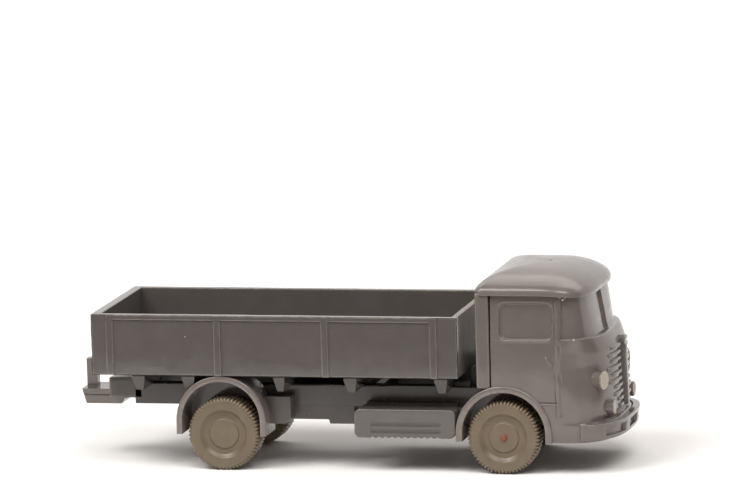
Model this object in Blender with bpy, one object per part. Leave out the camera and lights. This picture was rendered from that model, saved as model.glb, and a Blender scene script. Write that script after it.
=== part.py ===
# Moulded plastic model of a cab-over flatbed truck, rolling on two steel axles.
# Axes: +X forward, +Y left, +Z up, origin on the ground under the middle.
import math

import bmesh
import bpy
from mathutils import Matrix, Vector

# Lengths along the truck, in millimetres
MM = 0.001
COUPLING_REACH = 4.7
BED_LENGTH = 60.2
BED_GAP = 2.4
CAB_LENGTH = 22.8
REAR_OVERHANG = 21.2
FRONT_SETBACK = 4.15
PILLAR_LENGTH = 2.2
DOOR_LINE = 13.0

# Widths, from the middle plane
HALF_WIDTH = 13.9
CAB_INSET = 0.6
WHEEL_INSET = 0.6
RAIL_ROOM = 1.6
RAIL_WALL = 1.6

# Heights, from the ground
WHEEL_RADIUS = 5.85
GUARD_ROOM = 0.7
GUARD_WALL = 0.78
GUARD_LIFT = 2.1
BED_HEIGHT = 9.8
BEARER_DEPTH = 1.8
RAIL_DEPTH = 4.0
CAB_BOTTOM = 5.15
CAB_HEIGHT = 23.5
ROOF_RISE = 3.6

# Walls and small features
WALL_SIDE = 1.2
WALL_END = 1.5
FLOOR_THICKNESS = 1.5
CAB_WALL = 1.1
PANE_DEPTH = 0.4
LINE_DEPTH = 0.22
AXLE_RADIUS = 0.55
FRONT_WHEEL_WIDTH = 3.4
REAR_WHEEL_WIDTH = 4.9
TOOTH_DEPTH = 0.42
TOOTH_COUNT = 60
SLAT_COUNT = 8
LAMP_SPLAY = 14.0
NOTCH_COUNT = 11

# Fits
SEAT_GAP = 0.05
SEAM_GAP = 0.25
RUNNING_CLEARANCE = 0.05
PRESS_CLEARANCE = 0.02

TOTAL_LENGTH = COUPLING_REACH + BED_LENGTH + BED_GAP + CAB_LENGTH
COUPLING_REAR = -TOTAL_LENGTH / 2
BED_REAR = COUPLING_REAR + COUPLING_REACH
BED_FRONT = BED_REAR + BED_LENGTH
CAB_REAR = BED_FRONT + BED_GAP
CAB_SEAM = CAB_REAR + PILLAR_LENGTH
NOSE_TIP = CAB_REAR + CAB_LENGTH
REAR_AXLE_X = BED_REAR + REAR_OVERHANG
FRONT_AXLE_X = CAB_REAR + FRONT_SETBACK
WHEELBASE = FRONT_AXLE_X - REAR_AXLE_X
AXLE_Z = WHEEL_RADIUS
REAR_GUARD_R = WHEEL_RADIUS + GUARD_ROOM + GUARD_WALL
REAR_GUARD_Z = AXLE_Z + GUARD_LIFT
FRONT_GUARD_R = REAR_GUARD_R + 0.42
FRONT_GUARD_Z = AXLE_Z + 0.6
BED_BOTTOM = REAR_GUARD_Z + REAR_GUARD_R + SEAT_GAP
BED_TOP = BED_BOTTOM + BED_HEIGHT
FLOOR_TOP = BED_BOTTOM + FLOOR_THICKNESS
BEARER_BOTTOM = BED_BOTTOM - BEARER_DEPTH
RAIL_TOP = BEARER_BOTTOM - SEAT_GAP
RAIL_BOTTOM = RAIL_TOP - RAIL_DEPTH
GEAR_BOTTOM = RAIL_BOTTOM - 2.2
CAB_HALF = HALF_WIDTH - CAB_INSET
CAB_TOP = CAB_BOTTOM + CAB_HEIGHT
WHEEL_OUTER_Y = HALF_WIDTH - WHEEL_INSET
GUARD_OUTER_Y = WHEEL_OUTER_Y + 0.4
GUARD_INNER_Y = WHEEL_OUTER_Y - REAR_WHEEL_WIDTH - 0.25
RAIL_OUTER = WHEEL_OUTER_Y - REAR_WHEEL_WIDTH - RAIL_ROOM
RAIL_INNER = RAIL_OUTER - RAIL_WALL
LAMP_Y = 0.737 * CAB_HALF
LOWER_LAMP_Y = 0.571 * CAB_HALF

# Cross-bearers under the bed: position, width
BEARERS = (
    (BED_REAR + 7.5, 2.1),
    (REAR_AXLE_X - 5.5, 2.1),
    (REAR_AXLE_X + 9.4, 1.8),
    (BED_REAR + 0.701 * BED_LENGTH, 2.1),
    (BED_FRONT - 3.3, 2.1),
)
# Cab outline in plan, as shares: height, start of the corner, front, half width; then fullness
CAB_STATIONS = (
    (0.0, 0.55, 0.85, 0.985, 3.0),
    (0.135, 0.55, 0.85, 1.0, 3.0),
    (0.155, 0.54, 0.91, 1.0, 3.0),
    (0.19, 0.53, 0.93, 1.0, 3.0),
    (0.37, 0.52, 0.922, 1.0, 2.9),
    (0.51, 0.51, 0.915, 1.0, 2.6),
    (0.60, 0.51, 0.90, 1.0, 2.5),
    (0.655, 0.51, 0.882, 1.0, 2.7),
    (0.698, 0.51, 0.86, 0.998, 3.2),
    (0.704, 0.51, 0.832, 0.995, 3.8),
    (0.82, 0.50, 0.808, 0.98, 4.0),
    (1.0, 0.49, 0.778, 0.962, 4.5),
)
# Roof outline in plan, as shares: rise, rear, start of the corner, front, half width
ROOF_STATIONS = (
    (0.0, 0.0, 0.49, 0.795, 1.018),
    (0.16, 0.0, 0.49, 0.798, 1.016),
    (0.34, 0.012, 0.48, 0.79, 0.985),
    (0.52, 0.05, 0.47, 0.765, 0.905),
    (0.70, 0.11, 0.46, 0.72, 0.78),
    (0.84, 0.18, 0.45, 0.66, 0.62),
    (0.94, 0.26, 0.43, 0.59, 0.43),
    (1.0, 0.34, 0.41, 0.50, 0.19),
)
ROOF_DROOP = 0.6


def clear_scene():
    for item in list(bpy.data.objects):
        bpy.data.objects.remove(item, do_unlink=True)


def material(name, color, roughness, metallic):
    made = bpy.data.materials.new(name)
    made.use_nodes = True
    shader = made.node_tree.nodes["Principled BSDF"]
    shader.inputs["Base Color"].default_value = (*color, 1.0)
    shader.inputs["Roughness"].default_value = roughness
    shader.inputs["Metallic"].default_value = metallic
    made.diffuse_color = (*color, 1.0)
    return made


# Closed solids
def solid(name, points, faces):
    mesh = bpy.data.meshes.new(name)
    mesh.from_pydata([(x * MM, y * MM, z * MM) for x, y, z in points], [], faces)
    work = bmesh.new()
    work.from_mesh(mesh)
    bmesh.ops.recalc_face_normals(work, faces=work.faces)
    work.to_mesh(mesh)
    work.free()
    made = bpy.data.objects.new(name, mesh)
    bpy.context.scene.collection.objects.link(made)
    return made


def cap(first, count, mirrored):
    if not mirrored:
        return [[first + i for i in range(count)]]
    faces = []
    for i in range(count // 2):
        j = count - 1 - i
        face = [i, i + 1, j - 1, j] if i + 1 < j - 1 else [i, i + 1, j]
        faces.append([first + k for k in face])
    return faces


def loft(name, rings, mirrored=False):
    count = len(rings[0])
    points = [point for ring in rings for point in ring]
    faces = cap(0, count, mirrored) + cap((len(rings) - 1) * count, count, mirrored)
    for level in range(len(rings) - 1):
        a = level * count
        b = a + count
        for i in range(count):
            j = (i + 1) % count
            faces.append([a + i, b + i, b + j, a + j])
    return solid(name, points, faces)


def box(name, x0, x1, y0, y1, z0, z1):
    low = [(x0, y0, z0), (x1, y0, z0), (x1, y1, z0), (x0, y1, z0)]
    high = [(x, y, z1) for x, y, z in low]
    return loft(name, [low, high])


def side_box_of(name, x0, x1, side, near, far, z0, z1):
    low, high = sorted((side * near, side * far))
    return box(name, x0, x1, low, high, z0, z1)


def prism_y(name, outline, y0, y1):
    low, high = sorted((y0, y1))
    return loft(name, [[(x, low, z) for x, z in outline], [(x, high, z) for x, z in outline]])


def prism_x(name, outline, x0, x1):
    return loft(name, [[(x0, y, z) for y, z in outline], [(x1, y, z) for y, z in outline]])


def circle(ca, cb, radius, count):
    step = 2 * math.pi / count
    return [(ca + radius * math.cos(step * i), cb + radius * math.sin(step * i)) for i in range(count)]


def rounded(a0, a1, b0, b1, radius, steps=4):
    corners = ((a1 - radius, b1 - radius, 0), (a0 + radius, b1 - radius, 1))
    corners += ((a0 + radius, b0 + radius, 2), (a1 - radius, b0 + radius, 3))
    points = []
    for ca, cb, quarter in corners:
        for i in range(steps + 1):
            angle = math.pi / 2 * (quarter + i / steps)
            points.append((ca + radius * math.cos(angle), cb + radius * math.sin(angle)))
    return points


def close_slivers(mesh):
    work = bmesh.new()
    work.from_mesh(mesh)
    bmesh.ops.remove_doubles(work, verts=work.verts, dist=0.0000005)
    loose = [edge for edge in work.edges if len(edge.link_faces) == 1]
    if loose:
        bmesh.ops.holes_fill(work, edges=loose, sides=4)
    work.to_mesh(mesh)
    work.free()


def combine(target, others, operation):
    for other in others:
        modifier = target.modifiers.new("combine", "BOOLEAN")
        modifier.operation = operation
        modifier.solver = "EXACT"
        modifier.object = other
        bpy.context.view_layer.update()
        graph = bpy.context.evaluated_depsgraph_get()
        mesh = bpy.data.meshes.new_from_object(target.evaluated_get(graph))
        target.modifiers.clear()
        close_slivers(mesh)
        target.data = mesh
        bpy.data.objects.remove(other, do_unlink=True)
    return target


def join(target, others):
    return combine(target, others, "UNION")


def cut(target, others):
    return combine(target, others, "DIFFERENCE")


def finish(made, made_of, parent=None, round_piece=False):
    work = bmesh.new()
    work.from_mesh(made.data)
    bmesh.ops.remove_doubles(work, verts=work.verts, dist=0.000002)
    bmesh.ops.dissolve_limit(work, angle_limit=0.0005, verts=work.verts, edges=work.edges)
    bmesh.ops.triangulate(work, faces=[face for face in work.faces if len(face.verts) > 4])
    bmesh.ops.recalc_face_normals(work, faces=work.faces)
    work.to_mesh(made.data)
    work.free()
    made.data.materials.clear()
    made.data.materials.append(made_of)
    if round_piece:
        made.data.polygons.foreach_set("use_smooth", [True] * len(made.data.polygons))
    if parent is not None:
        made.parent = parent
        made.matrix_parent_inverse = parent.matrix_world.inverted()
    return made


def turning_point(name, x):
    made = bpy.data.objects.new(name, None)
    made.empty_display_size = 0.004
    made.location = (x * MM, 0.0, AXLE_Z * MM)
    bpy.context.scene.collection.objects.link(made)
    bpy.context.view_layer.update()
    return made


# Places measured as shares of the wheelbase and of the cab
def between_axles(share):
    return REAR_AXLE_X + share * WHEELBASE


def cab_x(share):
    return CAB_REAR + share * CAB_LENGTH


def cab_z(share):
    return CAB_BOTTOM + share * CAB_HEIGHT


def droop(x, share):
    along = max(0.0, (x - cab_x(0.4)) / (0.4 * CAB_LENGTH))
    return ROOF_DROOP * along ** 2 * max(0.0, min(1.0, (share - 0.8) / 0.2))


def nose_ring(z, rear, corner, front, half_width, fullness, steps=11):
    ring = [(rear, -half_width, z)]
    for i in range(2 * steps + 1):
        angle = math.pi * (i / (2 * steps) - 0.5)
        along = abs(math.cos(angle)) ** (2 / fullness)
        across = math.copysign(abs(math.sin(angle)) ** (2 / fullness), angle)
        ring.append((corner + (front - corner) * along, half_width * across, z))
    ring.append((rear, half_width, z))
    return ring


def cab_solid(name, rear, inset, low=None, high=None):
    rings = []
    for share, corner, front, half, fullness in CAB_STATIONS:
        z = cab_z(share)
        if low is not None and share == 0.0:
            z = low
        if high is not None and share == 1.0:
            z = high
        width = half * CAB_HALF - inset
        ring = nose_ring(z, rear, cab_x(corner), cab_x(front) - inset, width, fullness)
        rings.append([(a, b, c - droop(a, share)) for a, b, c in ring])
    return loft(name, rings, True)


def cab_core(inset):
    return cab_solid("core", CAB_REAR - 3.0, inset, CAB_BOTTOM - 2.0, CAB_TOP + 2.0)


def nose_front(z, y):
    share = (z - CAB_BOTTOM) / CAB_HEIGHT
    below = [s for s in CAB_STATIONS if s[0] <= share][-1]
    above = [s for s in CAB_STATIONS if s[0] > share][0]
    part = (share - below[0]) / (above[0] - below[0])
    corner, front, half, full = [a + (b - a) * part for a, b in zip(below[1:], above[1:])]
    reach = (1 - (abs(y) / (half * CAB_HALF)) ** full) ** (1 / full)
    return cab_x(corner) + (cab_x(front) - cab_x(corner)) * reach


def roof_solid(name, inset, drop):
    rings = []
    for rise, rear, corner, front, half in ROOF_STATIONS:
        z = CAB_TOP + SEAT_GAP + rise * ROOF_RISE - drop
        width = max(half * CAB_HALF - inset, 0.6)
        tip = max(cab_x(front) - inset, cab_x(corner) + 0.6)
        back = cab_x(rear) + inset
        bend = min(0.8, width * 0.4)
        ring = nose_ring(z, back + bend, cab_x(corner), tip, width, 3.6 - 1.2 * rise)
        ring = [(back, bend - width, z)] + ring + [(back, width - bend, z)]
        rings.append([(a, b, c - droop(a, 1.0)) for a, b, c in ring])
    return loft(name, rings, True)


# Chassis
def make_chassis(made_of):
    rear = BED_REAR + 1.9
    front = CAB_REAR + 0.5
    made = box("chassis_frame", rear, front, RAIL_INNER, RAIL_OUTER, RAIL_BOTTOM, RAIL_TOP)
    extra = [box("rail", rear, front, -RAIL_OUTER, -RAIL_INNER, RAIL_BOTTOM, RAIL_TOP)]
    middle = (RAIL_INNER + RAIL_OUTER) / 2
    ties = [rear, REAR_AXLE_X - 6.7, between_axles(0.156), between_axles(0.512), between_axles(0.731), front - 1.2]
    for x in ties:
        extra.append(box("tie", x, x + 1.2, -middle, middle, RAIL_BOTTOM + 0.3, RAIL_TOP - 0.5))
    tongue_end = cab_x(0.71)
    extra.append(box("front_tongue", front - 0.6, tongue_end, -middle, middle, RAIL_BOTTOM + 0.6, RAIL_BOTTOM + 2.4))
    for x in (REAR_AXLE_X, FRONT_AXLE_X):
        for side in (-1, 1):
            outline = [(x - 3.2, RAIL_BOTTOM + 0.8), (x - 1.4, AXLE_Z - 1.1)]
            outline += [(x + 1.4, AXLE_Z - 1.1), (x + 3.2, RAIL_BOTTOM + 0.8)]
            extra.append(prism_y("bearing", outline, side * RAIL_INNER, side * RAIL_OUTER))
    g0, g1, g2 = between_axles(0.162), between_axles(0.346), between_axles(0.42)
    low = GEAR_BOTTOM
    gear = [(g0, RAIL_BOTTOM + 0.2), (g0, low + 0.3), (g0 + 1.2, low), (g1, low), (g1 + 0.2, low - 0.7)]
    gear += [(g2, low - 0.7), (g2, RAIL_BOTTOM + 0.2)]
    extra.append(prism_y("gearbox", gear, -middle, middle))
    for side in (-1, 1):
        x = REAR_AXLE_X + REAR_GUARD_R + 0.2
        step = [(x, RAIL_BOTTOM + 2.0), (x, GEAR_BOTTOM - 0.2), (x + 2.0, GEAR_BOTTOM - 0.2)]
        step += [(x + 2.8, GEAR_BOTTOM + 0.6), (x + 2.8, RAIL_BOTTOM + 2.0)]
        extra.append(prism_y("step_block", step, side * middle, side * (RAIL_OUTER + 3.8)))
        box_rear, box_front = side_box_span()
        extra.append(side_box_of("carrier", box_rear + 1.0, box_front - 0.6, side, middle, box_inner() - SEAT_GAP,
                                 GEAR_BOTTOM, RAIL_BOTTOM + 1.0))
    join(made, extra)
    cutters = [box("gear_bay", g0 + 0.6, g2 + 0.4, 0.1 - RAIL_INNER, RAIL_INNER - 0.1, RAIL_BOTTOM - 0.5, RAIL_TOP)]
    for x in (REAR_AXLE_X, FRONT_AXLE_X):
        hole = circle(x, AXLE_Z, AXLE_RADIUS + RUNNING_CLEARANCE, 24)
        cutters.append(prism_y("axle_hole", hole, -RAIL_OUTER - 1.0, RAIL_OUTER + 1.0))
    cut(made, cutters)
    return finish(made, made_of)


def make_coupling(made_of):
    seat = BED_REAR + 1.9 - SEAT_GAP
    top = RAIL_BOTTOM + 1.65
    low = top - 2.4
    tip = COUPLING_REAR
    outline = [(tip, top), (tip + 0.7, low), (BED_REAR + 0.9, low), (BED_REAR + 1.4, low + 0.9)]
    outline += [(seat, low + 0.9), (seat, top)]
    made = prism_y("tow_coupling", outline, -3.2, 3.2)
    post = box("post", tip + 0.25, tip + 2.0, -0.8, 0.8, top - 0.5, BED_BOTTOM + 0.35)
    root = box("root", seat - 1.6, seat, -2.6, 2.6, top - 0.5, RAIL_TOP - 0.6)
    join(made, [post, root])
    grooves = []
    for side in (-1, 1):
        grooves.append(side_box_of("groove", tip + 0.3, seat - 0.6, side, 3.0, 3.5, top - 1.1, top - 0.85))
    cut(made, grooves)
    return finish(made, made_of)


# Load bed
def make_floor(made_of):
    inner = HALF_WIDTH - WALL_SIDE - SEAT_GAP
    rear = BED_REAR + WALL_END + SEAT_GAP
    front = BED_FRONT - WALL_END - SEAT_GAP
    floor = box("bed_floor", rear, front, -inner, inner, BED_BOTTOM, FLOOR_TOP)
    bearers = []
    for x, width in BEARERS:
        half = width / 2
        end = HALF_WIDTH - 0.4
        shape = [(-end, BED_BOTTOM - SEAT_GAP), (-end, BED_BOTTOM - 0.5), (-end + 0.9, BEARER_BOTTOM)]
        shape += [(-y, z) for y, z in reversed(shape)]
        bar = prism_x("bearer", shape, x - half, x + half)
        rise = box("rise", x - half, x + half, -inner + 0.5, inner - 0.5, BED_BOTTOM - 0.5, BED_BOTTOM + 0.3)
        low = BEARER_BOTTOM - 0.2
        wedge = [(x - half - 1, low), (x - half / 2, low), (x - half, BED_BOTTOM - 0.5)]
        wedge += [(x - half - 1, BED_BOTTOM - 0.5)]
        mirror = [(2 * x - a, b) for a, b in wedge]
        join(bar, [rise])
        cut(bar, [prism_y("wedge", side, -HALF_WIDTH, HALF_WIDTH) for side in (wedge, mirror)])
        bearers.append(bar)
    join(floor, bearers)
    return finish(floor, made_of)


def make_side_board(name, side, made_of):
    outer = side * HALF_WIDTH
    low, high = sorted((side * (HALF_WIDTH - WALL_SIDE), outer))
    board = box(name, BED_REAR, BED_FRONT, low, high, BED_BOTTOM, BED_TOP)
    posts = [BED_REAR + 1.3, BED_REAR + 0.344 * BED_LENGTH, BED_REAR + 0.634 * BED_LENGTH, BED_FRONT - 4.2]
    edges = [(posts[i] + 0.8, posts[i + 1] - 0.8) for i in range(3)]
    edges.append((posts[3] + 0.8, BED_FRONT + 0.1))
    sunk = []
    for x0, x1 in edges:
        sunk.append(side_box_of("sunk", x0, x1, side, HALF_WIDTH - 0.25, HALF_WIDTH + 0.5,
                                BED_BOTTOM - 1.0, BED_TOP - 0.75))
    cut(board, sunk)
    return finish(board, made_of)


def make_end_board(name, x0, outward, made_of):
    inner = HALF_WIDTH - WALL_SIDE - SEAT_GAP
    board = box(name, x0, x0 + WALL_END, -inner, inner, BED_BOTTOM, BED_TOP)
    outer = x0 if outward < 0 else x0 + WALL_END
    sunk = []
    third = 2 * inner / 3
    for i in range(3):
        y0 = -inner + third * i + 0.6
        sunk.append(box("sunk", outer - 0.2, outer + 0.2, y0, y0 + third - 1.2, BED_BOTTOM + 0.9, BED_TOP - 0.9))
    cut(board, sunk)
    return finish(board, made_of)


# Arched guards over the wheels
def arch_outline(cx, cz, outer, inner, leg_rear, leg_front, steps=20):
    points = [(cx + outer, leg_front)]
    for i in range(steps + 1):
        angle = math.pi * i / steps
        points.append((cx + outer * math.cos(angle), cz + outer * math.sin(angle)))
    points.append((cx - outer, leg_rear))
    points.append((cx - inner, leg_rear))
    for i in range(steps + 1):
        angle = math.pi * (1 - i / steps)
        points.append((cx + inner * math.cos(angle), cz + inner * math.sin(angle)))
    points.append((cx + inner, leg_front))
    return points


def tunnel(x, radius, steps=20):
    points = [(x + radius, CAB_BOTTOM - 3.0)]
    for i in range(steps + 1):
        angle = math.pi * i / steps
        points.append((x + radius * math.cos(angle), FRONT_GUARD_Z + radius * math.sin(angle)))
    points.append((x - radius, CAB_BOTTOM - 3.0))
    return points


def make_guards(made_of):
    for label, side in (("left", 1), ("right", -1)):
        outline = arch_outline(REAR_AXLE_X, REAR_GUARD_Z, REAR_GUARD_R, REAR_GUARD_R - GUARD_WALL,
                               AXLE_Z, AXLE_Z - 0.2)
        guard = prism_y("rear_mudguard_" + label, outline, side * GUARD_INNER_Y, side * GUARD_OUTER_Y)
        top = REAR_GUARD_Z + REAR_GUARD_R
        stay = side_box_of("stay", REAR_AXLE_X - 2.0, REAR_AXLE_X + 2.0, side, RAIL_OUTER + SEAT_GAP,
                           GUARD_INNER_Y + 0.4, RAIL_TOP - 1.2, top - 0.45)
        join(guard, [stay])
        finish(guard, made_of)
        x = FRONT_AXLE_X + 0.1
        outline = arch_outline(x, FRONT_GUARD_Z, FRONT_GUARD_R, FRONT_GUARD_R - GUARD_WALL - 0.27,
                               CAB_BOTTOM + 0.1, CAB_BOTTOM - 0.1)
        inner = WHEEL_OUTER_Y - FRONT_WHEEL_WIDTH - 0.6
        guard = prism_y("front_mudguard_" + label, outline, side * inner, side * (GUARD_OUTER_Y - 0.05))
        top = FRONT_GUARD_Z + FRONT_GUARD_R
        stay = side_box_of("stay", x - 1.75, x + 1.75, side, RAIL_INNER + 0.85, inner + 0.4, top - 1.95, top - 0.4)
        join(guard, [stay])
        finish(guard, made_of)


# Boxes hung between the wheels
def side_box_span():
    front = FRONT_AXLE_X + 0.1 - FRONT_GUARD_R - 0.1
    return front - 0.3595 * WHEELBASE, front


def box_inner():
    return HALF_WIDTH - 5.15


def make_side_boxes(made_of):
    rear, front = side_box_span()
    low = CAB_BOTTOM + 0.45
    pitch = (front - rear) * 0.0645
    for label, side in (("left", 1), ("right", -1)):
        outline = rounded(rear, front, low, low + 4.6, 0.9)
        face = HALF_WIDTH - 0.6
        body = prism_y("side_box_" + label, outline, side * box_inner(), side * face)
        cutters = []
        for z in (low + 1.15, low + 2.25):
            cutters.append(side_box_of("groove", rear + 2.8, front - 2.5, side, face - 0.25, face + 0.3,
                                       z - 0.14, z + 0.14))
        for i in range(NOTCH_COUNT):
            notch = circle(rear + 2.9 + pitch * i, low - 0.1, 0.32, 8)
            cutters.append(prism_y("notch", notch, side * (face - 1.1), side * (face + 0.3)))
        cut(body, cutters)
        finish(body, made_of)


# Cab
def make_cab(made_of):
    shell = cab_solid("cab_shell", CAB_SEAM + SEAM_GAP, 0.0)
    hollow = cab_solid("hollow", CAB_SEAM - 2.0, CAB_WALL, CAB_BOTTOM - 1.0, CAB_TOP - CAB_WALL)
    x = FRONT_AXLE_X + 0.1
    room = FRONT_GUARD_R + SEAT_GAP
    door = CAB_REAR + DOOR_LINE
    handles = []
    for side in (-1, 1):
        handles.append(side_box_of("handle", door - 1.9, door - 0.8, side, CAB_HALF - 0.3, CAB_HALF + 0.3,
                                   cab_z(0.57), cab_z(0.587)))
    join(shell, handles)
    cut(shell, [hollow, prism_y("arch", tunnel(x, room), -HALF_WIDTH, HALF_WIDTH)])
    cutters = []
    window = (CAB_SEAM + 1.65, door - 0.7, cab_z(0.708), cab_z(0.948))
    sill = box("sill", x + room - 0.6, door + 0.05, -HALF_WIDTH, HALF_WIDTH, cab_z(0.274), cab_z(0.282))
    line = box("line", door - 0.1, door + 0.1, -HALF_WIDTH, HALF_WIDTH, cab_z(0.29), cab_z(0.97))
    cutters += [cut(sill, [cab_core(LINE_DEPTH)]), cut(line, [cab_core(LINE_DEPTH)])]
    for side in (-1, 1):
        pane = prism_y("side_pane", rounded(*window, 1.0), side * (CAB_HALF - 2.0), side * HALF_WIDTH)
        cutters.append(cut(pane, [cab_core(PANE_DEPTH)]))
        pane = side_box_of("front_pane", door + 0.75, NOSE_TIP, side, 0.5, HALF_WIDTH, cab_z(0.701), cab_z(0.985))
        cutters.append(cut(pane, [cab_core(PANE_DEPTH)]))
    cut(shell, cutters)
    finish(shell, made_of)


def make_cab_back(made_of):
    roof = roof_solid("cab_roof_and_back", 0.0, 0.0)
    cut(roof, [roof_solid("under", CAB_WALL, CAB_WALL)])
    guard_top = FRONT_GUARD_Z + FRONT_GUARD_R
    back = box("back", CAB_REAR, CAB_SEAM, -CAB_HALF, CAB_HALF, guard_top - 0.5, CAB_TOP + 0.8)
    inner = CAB_HALF - CAB_WALL
    room = box("room", CAB_REAR + 1.0, CAB_SEAM + 1.0, -inner, inner, guard_top - 2.0, CAB_TOP - 0.2)
    x = FRONT_AXLE_X + 0.1
    arch = tunnel(x, FRONT_GUARD_R + SEAT_GAP)
    cut(back, [room, prism_y("arch", arch, -HALF_WIDTH, HALF_WIDTH)])
    join(roof, [back])
    panes = []
    for y0, y1 in ((-0.81, -0.08), (0.08, 0.81)):
        outline = rounded(y0 * CAB_HALF, y1 * CAB_HALF, cab_z(0.72), cab_z(0.94), 0.9)
        panes.append(prism_x("back_pane", outline, CAB_REAR - 1.0, CAB_REAR + 0.35))
    cut(roof, panes)
    finish(roof, made_of)


# Nose trim, all seated on the same curved nose
def make_grille(made_of):
    bottom, top = cab_z(0.175), cab_z(0.585)
    rings = []
    for i in range(6):
        z = bottom + (top - bottom) * i / 5
        x = nose_front(z, 0.0)
        rings.append([(x - 0.4, -0.45, z), (x + 0.65, -0.4, z), (x + 0.65, 0.4, z), (x - 0.4, 0.45, z)])
    made = loft("grille", rings)
    slats = []
    pitch = (top - bottom) / (SLAT_COUNT + 0.6)
    for i in range(SLAT_COUNT):
        z = bottom + pitch * (i + 0.75)
        reach = (3.4 + 0.34 * i) if i % 2 else (4.4 + 0.38 * i)
        for side in (-1, 1):
            ring_set = []
            for step in range(6):
                y = side * (0.1 + (reach - 0.1) * step / 5)
                x = nose_front(z, y)
                deep = 0.55 if step < 5 else 0.25
                tall = 0.3 if step < 5 else 0.2
                ring_set.append([(x - 0.4, y, z - tall), (x + deep, y, z - tall * 0.6),
                                 (x + deep, y, z + tall * 0.6), (x - 0.4, y, z + tall)])
            slats.append(loft("slat", ring_set))
    join(made, slats)
    cut(made, [cab_core(-SEAT_GAP)])
    return finish(made, made_of)


def disc_x(name, x0, x1, y, z, radius, tip, count=20):
    rings = []
    for x, r in ((x0, radius), (x1 - 0.25, radius), (x1, tip)):
        rings.append([(x, a, b) for a, b in circle(y, z, r, count)])
    return loft(name, rings)


def make_lamps(silver, body):
    for label, side in (("left", 1), ("right", -1)):
        for name, y, z, radius, proud, splay, paint in (
                ("headlamp_", LAMP_Y, 0.405, 1.5, 0.6, LAMP_SPLAY, silver),
                ("lower_lamp_", LOWER_LAMP_Y, 0.215, 1.2, 0.9, 0.0, body)):
            height = cab_z(z)
            front = nose_front(height, y) + proud
            lamp = disc_x(name + label, -3.6, 0.0, 0.0, 0.0, radius, radius - 0.3)
            turn = Matrix.Rotation(math.radians(side * splay), 4, "Z")
            spot = Matrix.Translation(Vector((front, side * y, height)) * MM)
            lamp.data.transform(spot @ turn)
            cut(lamp, [cab_core(-SEAT_GAP)])
            finish(lamp, paint)
    height = cab_z(0.62)
    front = nose_front(height, 0.0) + 1.5
    boss = disc_x("front_boss", front - 3.0, front, 0.0, height, 0.85, 0.6)
    cut(boss, [cab_core(-SEAT_GAP)])
    finish(boss, body)


def make_bumper(made_of):
    low, high = CAB_BOTTOM + 0.35, CAB_BOTTOM + 2.95
    start = cab_x(0.6)
    outline = []
    for z, back in ((low, 0.3), (high, 0.0)):
        outline.append(nose_ring(z, start - 0.1, start, NOSE_TIP - back, CAB_HALF + 0.3, 3.0, 16))
    made = loft("front_bumper", outline)
    inner = [nose_ring(z, start - 6.0, start - 0.3, NOSE_TIP - 1.2, CAB_HALF + SEAT_GAP, 3.0, 16)
             for z in (low - 1.0, high + 1.0)]
    end = box("end", start - 6.0, cab_x(0.73), -HALF_WIDTH, HALF_WIDTH, low - 1.0, high + 1.0)
    cut(made, [loft("inner", inner), end])
    slots = []
    brackets = []
    back = cab_x(CAB_STATIONS[1][2])
    for side in (-1, 1):
        slots.append(side_box_of("slot", NOSE_TIP - 6.0, NOSE_TIP + 1.0, side, 0.2 * CAB_HALF, 0.767 * CAB_HALF,
                                 low + 0.95, low + 1.75))
        bracket = side_box_of("bracket", back - 1.0, NOSE_TIP - 0.8, side, 0.3 * CAB_HALF, 0.42 * CAB_HALF,
                              high - 1.0, high - 0.15)
        brackets.append(cut(bracket, [cab_core(SEAT_GAP * -1)]))
    cut(made, slots)
    join(made, brackets)
    return finish(made, made_of)


# Running gear
def wheel_rows(side, width):
    outer = WHEEL_OUTER_Y
    inner = outer - width
    bore = AXLE_RADIUS + PRESS_CLEARANCE
    rim = WHEEL_RADIUS
    face = [(bore, outer - 0.35), (0.32 * rim, outer - 0.35), (0.35 * rim, outer - 0.7)]
    face += [(0.48 * rim, outer - 0.75), (0.55 * rim, outer - 0.2), (0.83 * rim, outer)]
    tread = [(rim, outer - 0.45), (rim, inner + 0.3)]
    back = [(0.83 * rim, inner), (0.27 * rim, inner), (bore, inner)]
    rows = [(r, y, False) for r, y in face] + [(r, y, True) for r, y in tread]
    rows += [(r, y, False) for r, y in back]
    return [(r, side * y, toothed) for r, y, toothed in rows]


def bridge(a, na, b, nb):
    faces = []
    if na == nb:
        return [[a + i, a + (i + 1) % na, b + (i + 1) % nb, b + i] for i in range(na)]
    if na < nb:
        for i in range(na):
            j = (i + 1) % na
            m = 2 * i
            faces.append([a + i, b + m + 1, b + m])
            faces.append([a + i, a + j, b + m + 1])
            faces.append([a + j, b + (m + 2) % nb, b + m + 1])
        return faces
    for i in range(nb):
        j = (i + 1) % nb
        m = 2 * i
        faces.append([b + i, a + m, a + m + 1])
        faces.append([b + i, a + m + 1, b + j])
        faces.append([b + j, a + m + 1, a + (m + 2) % na])
    return faces


def make_wheel(name, x, side, width, made_of, parent):
    fine = 2 * TOOTH_COUNT
    points = []
    starts = []
    rows = wheel_rows(side, width)
    for radius, y, toothed in rows:
        count = fine if toothed else TOOTH_COUNT
        starts.append((len(points), count))
        for i in range(count):
            angle = 2 * math.pi * (i if toothed else 2 * i) / fine
            r = radius - (TOOTH_DEPTH if toothed and i % 2 else 0.0)
            points.append((x + r * math.cos(angle), y, AXLE_Z + r * math.sin(angle)))
    faces = []
    for k in range(len(rows)):
        a, na = starts[k]
        b, nb = starts[(k + 1) % len(rows)]
        faces += bridge(a, na, b, nb)
    return finish(solid(name, points, faces), made_of, parent, True)


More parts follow.
